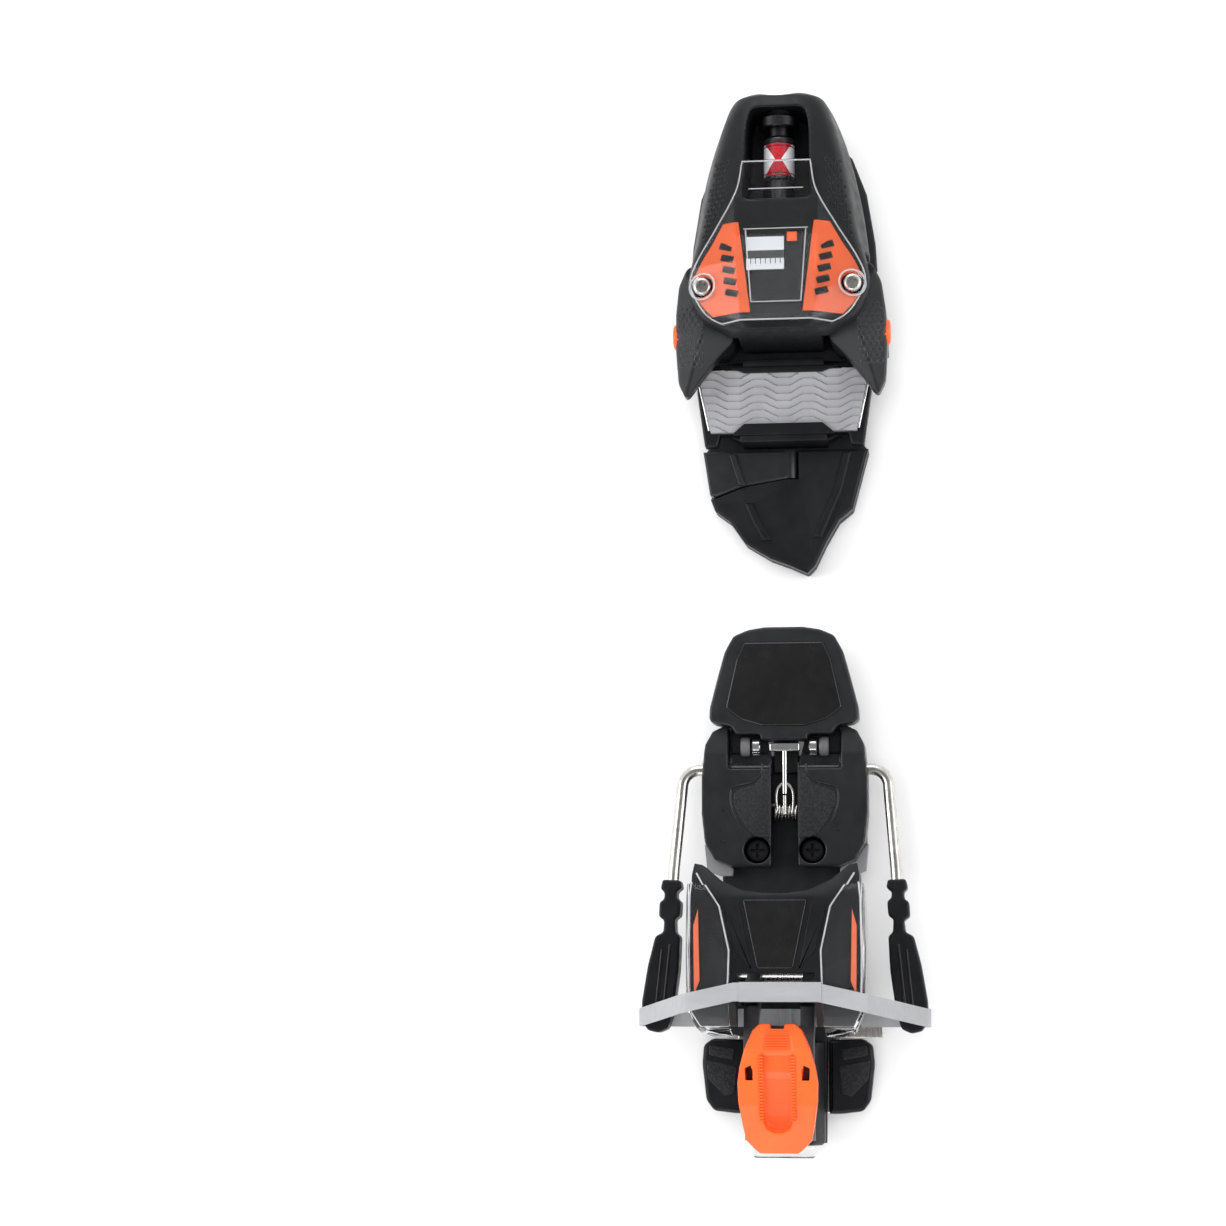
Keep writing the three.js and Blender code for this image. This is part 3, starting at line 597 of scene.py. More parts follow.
def coil_tree():
    """Helical spring about a line through Centre, turned by Turn."""
    g = Growth("coil spring", Rotations=FLOAT, Radius=FLOAT, Wire=FLOAT, Length=FLOAT,
               Centre=VECTOR, Turn=VECTOR)
    spiral = g.add("GeometryNodeCurveSpiral", {
        "Resolution": 28, "Rotations": g.size("Rotations"), "Start Radius": g.size("Radius"),
        "End Radius": g.size("Radius"), "Height": g.size("Length")})
    ring = g.add("GeometryNodeCurvePrimitiveCircle", {"Resolution": 10, "Radius": g.size("Wire")})
    tube = g.add("GeometryNodeCurveToMesh", {
        "Curve": spiral.outputs[0], "Profile Curve": ring.outputs[0], "Fill Caps": True})
    placed = g.add("GeometryNodeTransform", {
        "Geometry": tube.outputs[0], "Translation": g.size("Centre"),
        "Rotation": g.size("Turn")})
    return g.finish(placed.outputs[0])


def row_tree():
    """Row of small bars: Count bars from Start, Step apart, turned by Lean."""
    g = Growth("row of bars", Count=WHOLE, Start=VECTOR, Step=VECTOR, Bar=VECTOR, Lean=VECTOR)
    line = g.add("GeometryNodeMeshLine", {
        "Count": g.size("Count"), "Start Location": g.size("Start"), "Offset": g.size("Step")},
        mode="OFFSET")
    bar = g.add("GeometryNodeMeshCube", {"Size": g.size("Bar")})
    row = g.add("GeometryNodeInstanceOnPoints", {
        "Points": line.outputs[0], "Instance": bar.outputs[0], "Rotation": g.size("Lean")})
    return g.finish(row.outputs[0])


def cell_tree():
    """Raised six-sided rings laid on a surface where rays from the points meet it."""
    g = Growth("cell texture", Surface=OBJECT, Radius=FLOAT, Rim=FLOAT, Ray=VECTOR)
    info = g.add("GeometryNodeObjectInfo", {"Object": g.size("Surface")},
                 transform_space="RELATIVE")
    here = g.add("GeometryNodeInputPosition")
    ray = g.add("GeometryNodeRaycast", {
        "Target Geometry": info.outputs["Geometry"], "Source Position": here.outputs[0],
        "Ray Direction": g.size("Ray"), "Ray Length": 1.0})
    facing = g.add("FunctionNodeAlignRotationToVector",
                   {"Vector": ray.outputs["Hit Normal"]}, axis="Z")
    hexagon = g.add("GeometryNodeCurvePrimitiveCircle",
                    {"Resolution": 6, "Radius": g.size("Radius")})
    rim = g.add("GeometryNodeCurvePrimitiveCircle", {"Resolution": 4, "Radius": g.size("Rim")})
    cell = g.add("GeometryNodeCurveToMesh",
                 {"Curve": hexagon.outputs[0], "Profile Curve": rim.outputs[0]})
    laid = g.add("GeometryNodeInstanceOnPoints", {
        "Points": g.size("Geometry"), "Selection": ray.outputs["Is Hit"],
        "Instance": cell.outputs[0], "Rotation": facing.outputs[0]})
    drop = g.add("ShaderNodeVectorMath", {0: ray.outputs["Hit Position"], 1: here.outputs[0]},
                 operation="SUBTRACT")
    moved = g.add("GeometryNodeTranslateInstances", {
        "Instances": laid.outputs[0], "Translation": drop.outputs[0], "Local Space": False})
    return g.finish(moved.outputs[0])


def ripple_tree():
    """Slab whose top is a stair of zigzag ripples, tapering from front to rear."""
    g = Growth("rippled pad", Front=FLOAT, Rear=FLOAT, FrontHalf=FLOAT, RearHalf=FLOAT,
               Low=FLOAT, High=FLOAT, Pitch=FLOAT, Rise=FLOAT, Wave=FLOAT, Swing=FLOAT)
    slab = g.add("GeometryNodeMeshCube", {
        "Size": (1, 2, 1), "Vertices X": 112, "Vertices Y": 128, "Vertices Z": 2})
    split = g.add("ShaderNodeSeparateXYZ", {0: g.add("GeometryNodeInputPosition").outputs[0]})
    t = g.math("ADD", split.outputs[0], 0.5)
    reach = g.math("SUBTRACT", g.size("Front"), g.size("Rear"))
    x = g.math("ADD", g.size("Rear"), g.math("MULTIPLY", t, reach))
    flare = g.math("SUBTRACT", g.size("FrontHalf"), g.size("RearHalf"))
    half = g.math("ADD", g.size("RearHalf"), g.math("MULTIPLY", t, flare))
    y = g.math("MULTIPLY", split.outputs[1], half)
    turn = g.math("DIVIDE", g.math("MULTIPLY", y, 2 * math.pi), g.size("Wave"))
    steep = g.math("MULTIPLY", g.math("COSINE", turn), 1.35)
    zigzag = g.math("MAXIMUM", g.math("MINIMUM", steep, 1.0), -1.0)
    shifted = g.math("ADD", x, g.math("MULTIPLY", zigzag, g.size("Swing")))
    saw = g.math("FRACT", g.math("ADD", g.math("DIVIDE", shifted, g.size("Pitch")), 100.0))
    step = g.math("MULTIPLY", g.math("POWER", saw, 1.5), g.size("Rise"))
    top = g.math("ADD", g.size("High"), step)
    above = g.math("GREATER_THAN", split.outputs[2], 0.0)
    thick = g.math("SUBTRACT", top, g.size("Low"))
    z = g.math("ADD", g.size("Low"), g.math("MULTIPLY", above, thick))
    shaped = g.add("GeometryNodeSetPosition", {
        "Geometry": slab.outputs["Mesh"], "Position": g.combine(x, y, z)})
    return g.finish(shaped.outputs[0])


BEAD, COIL, ROW, CELLS, RIPPLE = (
    bead_tree(), coil_tree(), row_tree(), cell_tree(), ripple_tree())


def bead(name, path, radius, mat, closed=False, sides=10):
    """A round bead through a path of points."""
    n = len(path)
    edges = [(i, i + 1) for i in range(n - 1)] + ([(n - 1, 0)] if closed else [])
    return BEAD.grow(name, mat, path, edges, Radius=radius * MM, Sides=sides)


def spring(name, axis, centre, radius, wire, length, turns, mat):
    """Coil from centre along +X ("x") or +Y ("y")."""
    lean = {"x": (0, math.pi / 2, 0), "y": (-math.pi / 2, 0, 0)}[axis]
    return COIL.grow(name, mat, Rotations=turns, Radius=radius * MM, Wire=wire * MM,
                     Length=length * MM, Centre=tuple(c * MM for c in centre), Turn=lean)


def bars(name, count, start, step, size, mat, lean=(0, 0, 0)):
    scaled = [tuple(c * MM for c in v) for v in (start, step, size)]
    return ROW.grow(name, mat, Count=count, Start=scaled[0], Step=scaled[1], Bar=scaled[2],
                    Lean=tuple(math.radians(a) for a in lean))


def cells(name, surface, spots, radius, rim, mat):
    return CELLS.grow(name, mat, spots, Surface=surface, Radius=radius * MM,
                      Rim=rim * MM, Ray=(0, 0, -1))


def blended_path(points, steps=6):
    """Points along a smooth curve through the given ones."""
    pts = [Vector(p) for p in points]
    ends = [pts[0] * 2 - pts[1]] + pts + [pts[-1] * 2 - pts[-2]]
    path = []
    for a, b, c, d in zip(ends, ends[1:], ends[2:], ends[3:]):
        for k in range(steps):
            t = k / steps
            path.append(0.5 * (2 * b + (c - a) * t + (2 * a - 5 * b + 4 * c - d) * t * t
                               + (3 * b - a - 3 * c + d) * t ** 3))
    return [tuple(p) for p in path] + [tuple(pts[-1])]


# ---------- toe unit ----------

# Sections of the housing from the nose to the rear: x, bottom z, flank y z, shoulder y z,
# crest y z.
HOUSING = [
    (74, 22, 14, 30, 13, 39, 8.5, 42.5), (72, 16, 18.6, 28, 17, 41, 10.5, 45),
    (63, 14, 23.6, 27, 20.5, 44, 13, 48.5), (49, 14, 28.2, 28, 24, 46, 15, 51.5),
    (30, 14, 32.4, 29, 27.5, 48, 16, 54.5), (16, 14, 34.4, 30, 30, 48.5, 16, 56),
    (4, 14, 35.8, 32, 33.5, 48, 15.5, 56), (-4, 14, 36.5, 34, 35, 47, 15, 56),
    (-12, 14, 34, 36, 32, 47.5, 14.5, 56), (-18, 14, 30, 38, 27.5, 48, 14, 56),
    (-24, 14, 19, 40, 18, 48, 13, 55),
]
# Half width of the clear cover: x, y.
COVER_EDGE = [
    (43, 13.6), (30, 16), (16, 24), (4, 31.6), (-4, 34.4), (-12, 31.4), (-18, 27),
    (-21.5, 21),
]
# Sides of an orange insert: x, inner y, outer y.
INSERT_EDGES = [
    (18, 14.6, 20.4), (10, 13.5, 25.2), (4, 12.8, 29.2), (-4, 11.8, 32.6),
    (-12, 10.8, 29.8), (-17.6, 10.1, 25),
]
PIVOT = (-6, 29)          # wing screw, left side: x, y
PIVOT_BORE = 2.9
BUTTON = (-20, 28)        # wing button: x, z
SPRING_Z = 38             # line of the release spring and its screw
GLASS_LOW, GLASS_TOP = 1.4, 3.0   # the clear cover, over the roof
HIGHLIGHT_LIFT = 2.9            # the painted highlight bead along its edge, over the roof


def between(a, b, t):
    return a + (b - a) * t


def eased(table, x):
    """Row of a table at x, on a smooth curve through its rows."""
    i = max(0, min(len(table) - 2, sum(row[0] >= x for row in table) - 1))
    a, b = table[i], table[i + 1]
    before, after = table[max(i - 1, 0)], table[min(i + 2, len(table) - 1)]
    span = b[0] - a[0]
    t = (x - a[0]) / span
    row = [x]
    for k in range(1, len(a)):
        m0 = (b[k] - before[k]) / (b[0] - before[0]) * span
        m1 = (after[k] - a[k]) / (after[0] - a[0]) * span
        row.append((2 * t ** 3 - 3 * t ** 2 + 1) * a[k] + (t ** 3 - 2 * t ** 2 + t) * m0
                   + (3 * t ** 2 - 2 * t ** 3) * b[k] + (t ** 3 - t ** 2) * m1)
    return row


def roof(x, y):
    """Height of the housing's roof."""
    _, _, _, _, shoulder_y, shoulder_z, crest_y, crest_z = eased(HOUSING, x)
    t = (abs(y) - crest_y) / (shoulder_y - crest_y)
    return crest_z if t < 0 else between(crest_z, shoulder_z, t)


def crest(x):
    return eased(HOUSING, x)[6]


def skin(name, rows, low, high, mat):
    """Plate that follows the roof between two heights over it: rows of (x, ys)."""
    rings = [[(x, y, roof(x, y) + high) for y in ys]
             + [(x, y, roof(x, y) + low) for y in reversed(ys)] for x, ys in rows]
    return lofted(name, rings, mat)


def cover_rows(count=44, margin=0.0):
    rows = []
    for i in range(count + 1):
        x = between(COVER_EDGE[0][0] - margin, COVER_EDGE[-1][0] + margin, i / count)
        edge = eased(COVER_EDGE, x)[1] - margin
        fold = min(edge - 0.4, crest(x))
        half = [between(edge, fold, k / 4) for k in range(4)]
        flat = [between(fold, -fold, k / 6) for k in range(7)]
        rows.append((x, half + flat + [-y for y in reversed(half)]))
    return rows


def housing():
    rings = []
    for i in range(76):
        x, zb, fy, fz, sy, sz, cy, cz = eased(HOUSING, between(74, -24, (i / 75) ** 1.3))
        half = [(fy - 1.5, zb), (fy, fz), (sy, sz), (cy, cz)]
        whole = half + [(-y, z) for y, z in reversed(half)]
        rings.append([(x, y, z) for y, z in rounded(whole, 4.5, 6)])
    shell = lofted("housing_moulding", rings, SHELL)
    mouth = rounded([(66, -10.6), (67, -8), (67, 8), (66, 10.6), (60, 12), (28, 13.2),
                     (28, -13.2), (60, -12)], 2)
    bays = [block(-60, 9, *sorted((s * 16.3, s * 60)), 5, 40.6) for s in (1, -1)]
    bores = [peg("z", PIVOT_BORE, (PIVOT[0], s * PIVOT[1]), 30, 70) for s in (1, -1)]
    carve(shell, peg("z", 20, (92.6, 0), 0, 80, 96),
          moulding("cutter", "z", mouth, 26, 70, SHELL),
          peg("x", 7, (0, SPRING_Z), 10, 30), peg("x", 10.8, (0, SPRING_Z), -3, 14.4),
          peg("x", 4, (0, SPRING_Z), 60, 80), block(-18.5, -2.6, -17, 17, 22, 39),
          *bays, *bores, skin("cutter", cover_rows(), -0.5, 8, SHELL))
    melted(shell, 0.55, 4, 0.6)
    return give(shell, "housing_shell")


def clear_cover():
    cover = skin("cover_moulding", cover_rows(), GLASS_LOW, GLASS_TOP, CLEAR)
    carve(cover, *[peg("z", 4.2, (PIVOT[0], s * PIVOT[1]), 40, 70) for s in (1, -1)])
    give(smooth(cover, 20), "clear_cover")
    # Milky white beads along the cover's outline, folds, screw holes and steps are painted
    # highlights on its edges.
    rows = cover_rows(30, 0.5)
    outline = [(x, ys[0], roof(x, ys[0]) + HIGHLIGHT_LIFT) for x, ys in rows]
    across = [(rows[-1][0], y, roof(rows[-1][0], y) + HIGHLIGHT_LIFT) for y in rows[-1][1]]
    back = [(x, -y, z) for x, y, z in reversed(outline)]
    front = [(rows[0][0], y, roof(rows[0][0], y) + HIGHLIGHT_LIFT)
             for y in reversed(rows[0][1])]
    path = outline + across[1:-1] + back + front[1:-1]
    fix(bead("cover_rim", path, 0.3, HIGHLIGHT_BEAD, closed=True), "toe_body")
    for side, name in SIDES:
        fold = [(x, side * between(9.6, 11.6, (x + 14) / 28), 59.1) for x in range(-14, 15, 2)]
        fix(bead("cover_fold_" + name, fold, 0.26, HIGHLIGHT_BEAD), "toe_body")
        ring = [(PIVOT[0] + 5 * math.cos(a), side * PIVOT[1] + 5 * math.sin(a), 0)
                for a in (2 * math.pi * k / 40 for k in range(40))]
        ring = [(x, y, roof(x, y) + 3.1) for x, y, _ in ring]
        fix(bead("screw_rim_" + name, ring, 0.4, HIGHLIGHT_BEAD, closed=True), "toe_body")
    for place, half, number in ((31, 10.5, 1), (14.6, 12.4, 2), (-14.2, 9.6, 3)):
        bar = [(place, between(-half, half, k / 8), 0) for k in range(9)]
        bar = [(x, y, roof(x, y) + 3.05) for x, y, _ in bar]
        fix(bead("cover_step_%d" % number, bar, 0.2, HIGHLIGHT_BEAD), "toe_body")


def insert(side, name):
    rows = []
    for i in range(25):
        x, inner, outer = eased(INSERT_EDGES, between(18, -17.6, i / 24))
        fold = crest(x)
        half = [between(outer, fold, k / 4) for k in range(4)]
        half += [between(fold, inner, k / 2) for k in range(3)]
        rows.append((x, [side * y for y in half]))
    plate = skin("insert_" + name, rows, 0.2, 0.7, INSERT)
    carve(plate, peg("z", 4.3, (PIVOT[0], side * PIVOT[1]), 40, 70))
    give(smooth(plate, 25), "orange_insert_" + name)
    marks = bars("insert_marks_" + name, 5, (8.6, side * 19.4, roof(8.6, 19.4) + 0.78),
                 (-4.6, side * -0.55, 0.28), (2.6, 5.4, 0.16), SHELL,
                 (side * -22, 0, side * -18))
    fix(marks, "toe_body")


def pivot_screw(side, name):
    at = (PIVOT[0], side * PIVOT[1])
    screw = turned("pivot_screw_" + name, "z", at, [
        (5.8, 2.6), (50.6, 2.6), (50.7, 3.2), (50.9, 3.4), (53.3, 3.4), (53.8, 3.2),
        (54.1, 2.8), (54.25, 2.1)], STEEL)
    star = [moulding("cutter", "z", [
        (at[0] + 1.9 * math.cos(a + b), at[1] + 1.9 * math.sin(a + b))
        for b in (-0.35, 0.35, math.pi - 0.35, math.pi + 0.35)], 52.4, 56, SHELL)
        for a in (0.3, 0.3 + math.pi / 2)]
    carve(screw, *star)
    give(smooth(screw), "wing_pivot_screw_" + name)


def sliced(obj, points, keep):
    """Body cut flat along the plane through three points, keeping the side that holds keep."""
    a, b, c = (Vector(p) * MM for p in points)
    normal = (b - a).cross(c - a).normalized()
    if normal.dot(Vector(keep) * MM - a) > 0:
        normal = -normal
    bm = bmesh.new()
    bm.from_mesh(obj.data)
    cut = bmesh.ops.bisect_plane(bm, geom=bm.verts[:] + bm.edges[:] + bm.faces[:],
                                 plane_co=a, plane_no=normal, clear_outer=True)
    rim = [e for e in cut["geom_cut"] if isinstance(e, bmesh.types.BMEdge)]
    bmesh.ops.holes_fill(bm, edges=rim)
    bm.to_mesh(obj.data)
    bm.free()
    return obj


def wing(side, name):
    outline = rounded(on_side([
        (5, 22), (6.8, 29), (5, 36), (-2, 39.6), (-12, 41), (-26, 41.4), (-39, 40.6),
        (-44.6, 38), (-43.9, 36.4), (-38, 32.2), (-30, 26), (-23, 19.2), (-18, 17.4),
        (-8, 18.4), (0, 19.4)], side), 1.6)
    body = moulding("wing_moulding_" + name, "z", outline, 10, 39.9, SATIN, 0.6, 0)
    above = moulding("cutter", "y", [(-12, 39.9), (-46, 28.4), (-46, 70), (-12, 70)],
                     -80, 80, SHELL)
    carve(body, above, block(-60, -26.5, -80, 80, 0, 23.3),
          peg("z", PIVOT_BORE, (PIVOT[0], side * PIVOT[1]), 0, 70),
          peg("y", 5.3, BUTTON, *sorted((side * 39.6, side * 50))))
    ridge = [(-10, side * 27.4, 39.9), (-43.6, side * 37.4, 29.4)]
    sliced(body, ridge + [(-20, side * 17.5, 30.4)], (-20, side * 30, 20))
    sliced(body, ridge + [(-20, side * 41, 33.6)], (-20, side * 30, 20))
    melted(body, 0.45, 3)
    spots = []
    for i in range(12):
        for j in range(6):
            x, y = -11 - 2.1 * i, 30.6 + 2.35 * j + (1.17 if i % 2 else 0) + 0.12 * i
            if y < 39.4 and x > -34:
                spots.append((x, side * y, 60))
    texture = cells("wing_texture_" + name, body, spots, 1.15, 0.27, GREY_SIDE)
    give(body, "wing_" + name)
    fix(texture, BODY["wing_" + name])


def wing_button(side, name):
    rows = [(39.9, 4.6), (40.1, 5), (41.6, 5), (42.2, 4.7), (42.55, 4), (42.7, 2.6)]
    button = turned("button_" + name, "y", BUTTON, [(side * t, r) for t, r in rows],
                    ORANGE)
    give(smooth(button), "wing_button_" + name)


def flank_texture():
    for side, name in SIDES:
        spots = []
        for i in range(15):
            for j in range(5):
                x, y = 44 - 2.1 * i, 19.4 + 2.3 * j + (1.15 if i % 2 else 0) + 0.14 * i
                if y < eased(HOUSING, x)[4] - 0.8 and y > eased(COVER_EDGE, x)[1] + 2:
                    spots.append((x, side * y, 60))
        shell = bpy.data.objects["housing_moulding"]
        fix(cells("flank_texture_" + name, shell, spots, 1.1, 0.24, SATIN), "toe_body")


def toe_spring():
    screw = turned("screw_turned", "x", (0, SPRING_Z), [
        (-1.4, 2.5), (56.2, 2.6), (56.3, 4.5), (56.6, 4.8), (59.8, 4.8), (59.9, 7.6),
        (60.3, 8), (63.8, 8), (64.6, 7.2)], DARK_STEEL)
    z0, z1 = SPRING_Z - 0.7, SPRING_Z + 0.7
    carve(screw, block(62.2, 70, -0.7, 0.7, SPRING_Z - 2.8, SPRING_Z + 2.8),
          block(62.2, 70, -2.8, 2.8, z0, z1))
    give(smooth(screw), "toe_adjusting_screw")
    barrel = turned("barrel_turned", "x", (0, SPRING_Z), [
        (38.6, 5.4), (38.8, 5.9), (39.3, 6.2), (39.9, 6.2), (40.1, 6.05), (53.3, 6.05),
        (53.5, 6.2), (55.2, 6.2), (55.7, 5.9), (55.8, 5.3)], BARREL)
    carve(barrel, peg("x", 2.9, (0, SPRING_Z), 30, 60), peg("x", 5.05, (0, SPRING_Z), 50, 60))
    give(smooth(barrel), "spring_barrel")
    sleeve = turned("spring_sleeve", "x", (0, SPRING_Z), [
        (10.5, 6.2), (38.1, 6.2), (38.3, 6.0)], GLOSS)
    carve(sleeve, peg("x", 5.6, (0, SPRING_Z), 5, 45))
    fix(smooth(sleeve), "toe_body")
    wound = spring("toe_spring_wound", "x", (6.2, 0, SPRING_Z), 4.3, 1, 30.8, 9, DARK_STEEL)
    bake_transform(wound)
    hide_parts("toe_release_spring")
    MADE.add("toe_release_spring")


def glide_plate():
    pad = RIPPLE.grow("pad_rippled", GREY, Front=-0.0319, Rear=-0.0569, FrontHalf=0.0339,
                      RearHalf=0.0288, Low=0.0177, High=0.0199, Pitch=0.0031, Rise=0.0007,
                      Wave=0.0196, Swing=0.0013)
    give(pad, "glide_pad")
    body = BODY["glide_tray"]
    for name, plan in (
        ("front", [(-30.9, 19.5), (-31, 21.5), (-33.4, 15.4)]),
        ("rear", [(-53.8, 15.4), (-57.4, 19.6), (-58.4, 19.8)]),
    ):
        lip = moulding("glide_lip_" + name, "z", both_halves(plan), 20.75, 21.7, SHELL,
                       0, 0.4)
        fix(smooth(lip), body)
    for side, name in SIDES:
        edge = [(-32.4, side * 34.35, 19.6), (-44, side * 31.9, 19.6), (-56, side * 29.4, 19.6)]
        fix(bead("glide_rim_" + name, edge, 0.5, CHROME), body)


def tail():
    ridge = moulding("flap_ridge", "z", [(-64, 22.4), (-76.6, 18.4), (-76.9, 15.6),
                                         (-64.4, 19.4)], 11.9, 13.2, SATIN, 0, 0.6)
    fix(smooth(ridge), BODY["height_lever"])
    marks = bars("scale_ticks", 7, (2.4, 9.8, 56.62), (0, -1.9, 0), (2.2, 0.28, 0.12),
                 SHELL)
    fix(marks, "toe_body")


housing()
clear_cover()
flank_texture()
for side, name in SIDES:
    insert(side, name)
    pivot_screw(side, name)
    wing(side, name)
    wing_button(side, name)
toe_spring()
glide_plate()
tail()


# ---------- heel unit ----------

BRAKE_AXIS = (-190.5, 19)     # hinge of the brake: x, z
ROLLER_AXIS = (-181.6, 20.5)  # rollers under the brake pad: x, z
ARM_HALF, ARM_BEND = 33.4, 6.5   # an arm's straight part from the middle, and its bend
SCREW = (-221.8, 10.6)        # screw of a brake case, left side: x, y
DECK = 9.9                    # top of the carriage, under the cases
CUP_TOP = 76
STRAP_X, STRAP_Z = -277.1, 78.25  # middle of the transport band, over the cup


def brake_pad():
    plan = rounded(both_halves([
        (-135.4, 7.6), (-136.4, 14), (-138.8, 19.6), (-145, 23), (-156, 26), (-167, 28.8),
        (-171.6, 29), (-173, 27), (-174, 20.6), (-177.4, 18.6), (-179.4, 10.4)]), 1)
    pad = moulding("pad_moulding", "z", plan, 15.6, 26.2, SATIN, 0.6, 0.9, 3)
    carve(pad, block(-172, -146, -16, 16, 10, 20), block(-184, -177, 9, 21.5, 10, 40),
          block(-184, -177, -21.5, -9, 10, 40))
    melted(pad, 0.5, 9)
    give(pad, "brake_pad")
    raised = rounded(both_halves([(-141.4, 15.4), (-148, 18.4), (-167, 22.6), (-171.6, 16.6),
                                  (-174.2, 8)]), 1)
    panel = moulding("pad_panel", "z", raised, 25.4, 26.9, GLOSS, 0, 0.8)
    fix(smooth(panel, 50), "brake")


def brake_housing(side, name):
    plan = on_side([
        (-174.4, 8), (-173.2, 23), (-175.6, 28), (-181, 30.8), (-193, 32), (-208, 32),
        (-219, 30.8), (-225.6, 27), (-228, 20.5), (-228, 5.2), (-187, 5.2)], side)
    body = moulding("brake_case_" + name, "z", plan, DECK, 24.6, SATIN)
    at = (SCREW[0], side * SCREW[1])
    seam = [(-188.6, 8.4), (-192.4, 9), (-195.6, 12), (-197.2, 18.6), (-199, 20.6),
            (-204.6, 20.4), (-211.9, 17.4), (-217, 13)]
    run = [(x, side * y, 24.3) for x, y, _ in blended_path([(*p, 0) for p in seam], 4)]
    fix(bead("brake_seam_" + name, run, 0.45, GLOSS), "carriage")
    ear = moulding("cutter", "y", [
        (-172, 21.6), (-186, 24.9), (-186, 40), (-160, 40), (-160, 21.6)], -60, 60, SHELL)
    carve(body, block(-190.3, -160, -21.8, 21.8, 22.5, 40),
          block(-188.6, -160, -21.8, 21.8, 16.6, 40),
          block(-184, -160, -21.8, 21.8, 14.4, 40), ear,
          peg("y", 2.45, BRAKE_AXIS, -60, 60), peg("z", 5.1, at, 14.6, 40),
          peg("z", 2.5, at, 0, 40))
    melted(body, 0.5, 9)
    give(body, "brake_housing_" + name)
    patch = rounded(on_side([
        (-190.4, 5.7), (-190.4, 7.6), (-193.6, 8.8), (-196.8, 12), (-198.6, 18.2),
        (-200.2, 19.6), (-204.4, 19.4), (-211.2, 16.2), (-215.8, 12.4), (-217, 10),
        (-217, 5.7)], side), 1)
    grained = moulding("brake_patch_" + name, "z", patch, 24.2, 24.9, GRAINED, 0, 0.3)
    fix(smooth(grained, 50), "carriage")
    lip = [(-188.2, side * 5.5, 24.5), (-217, side * 5.5, 24.5)]
    fix(bead("brake_slot_lip_" + name, lip, 0.3, SATIN), "carriage")
    screw = turned("case_screw_" + name, "z", at, [
        (10, 2.1), (14.8, 2.2), (14.9, 4.2), (15.2, 4.5), (20.4, 4.5), (21, 4.2),
        (21.2, 3.6)], DARK_STEEL)
    cross = [(2.7, 0.65), (0.65, 2.7)]
    carve(screw, *[block(at[0] - a, at[0] + a, at[1] - b, at[1] + b, 18.6, 30)
                   for a, b in cross])
    give(smooth(screw), "housing_screw_" + name)
    tab = moulding("side_tab_" + name, "z", on_side(
        [(-218.8, 31.8), (-229.2, 30.8), (-231, 26), (-231, 21), (-228.4, 20.6)], side),
        DECK, 14.6, GREY, 0, 0.4)
    fix(smooth(tab), "carriage")


def brake_floor():
    floor = moulding("brake_floor", "z", rounded(both_halves(
        [(-175, 4.8), (-191, 4.8)]), 0.6), DECK, 12.6, CHASSIS, 0, 0.4)
    fix(smooth(floor), "carriage")


def brake_side(side, name):
    """Rollers, arm and paddle of one side."""
    disc = turned("brake_disc_" + name, "y", ROLLER_AXIS, [
        (side * t, r) for t, r in ((9.4, 3.1), (9.8, 3.6), (12.2, 3.6), (12.6, 3.1))],
        CHROME)
    give(smooth(disc), "brake_roller_" + name)
    washer = turned("brake_washer_" + name, "y", ROLLER_AXIS, [
        (side * t, r) for t, r in ((13.4, 3.1), (14.2, 3.7), (16.4, 3.7), (17, 3.1))],
        WASHER)
    fix(smooth(washer), "brake")
    path = [(BRAKE_AXIS[0], side * 6.2, BRAKE_AXIS[1])]
    for k in range(13):
        a = math.pi / 2 * k / 12
        path.append((BRAKE_AXIS[0] - ARM_BEND + ARM_BEND * math.cos(a),
                     side * (ARM_HALF + ARM_BEND * math.sin(a)),
                     BRAKE_AXIS[1] + 0.05 * k))
    path += [(-229, side * 42.6, 24.4), (-251, side * 44, 27)]
    arm = bead("arm_wire_" + name, path, 2.2, STEEL, sides=24)
    give(arm, "brake_arm_" + name)
    plan = rounded(on_side([
        (-233.6, 39.6), (-233.4, 46.4), (-237, 47.2), (-238.2, 45.6), (-241, 45.8),
        (-242, 47.6), (-247.6, 47.8), (-248.8, 45.8), (-253.4, 46), (-255, 49.2),
        (-266, 52), (-280, 54.3), (-287, 54.2), (-290.6, 52), (-291.6, 48),
        (-290, 44.4), (-284, 42.4), (-268, 40.2), (-255, 39.6), (-253.6, 41.4),
        (-248.4, 41.6), (-247.4, 39.7), (-241.8, 39.3), (-240.6, 41), (-238, 41),
        (-236.8, 39)], side), 0.8)
    blade = moulding("paddle_moulding_" + name, "z", plan, 20.4, 31.5, SHELL, 0.6, 0.7, 3)
    melted(blade, 0.45, 6)
    give(blade, "brake_paddle_" + name)
    for k, (front, rear, offset) in enumerate(((-258, -287, 0), (-260, -286, 3.1))):
        rib = [(x, side * (offset + between(43.4, 46.4, (front - x) / 29)), 31.5)
               for x in (front, (front + rear) / 2, rear)]
        fix(bead("paddle_rib_%s_%d" % (name, k), rib, 0.5, SATIN), "brake")


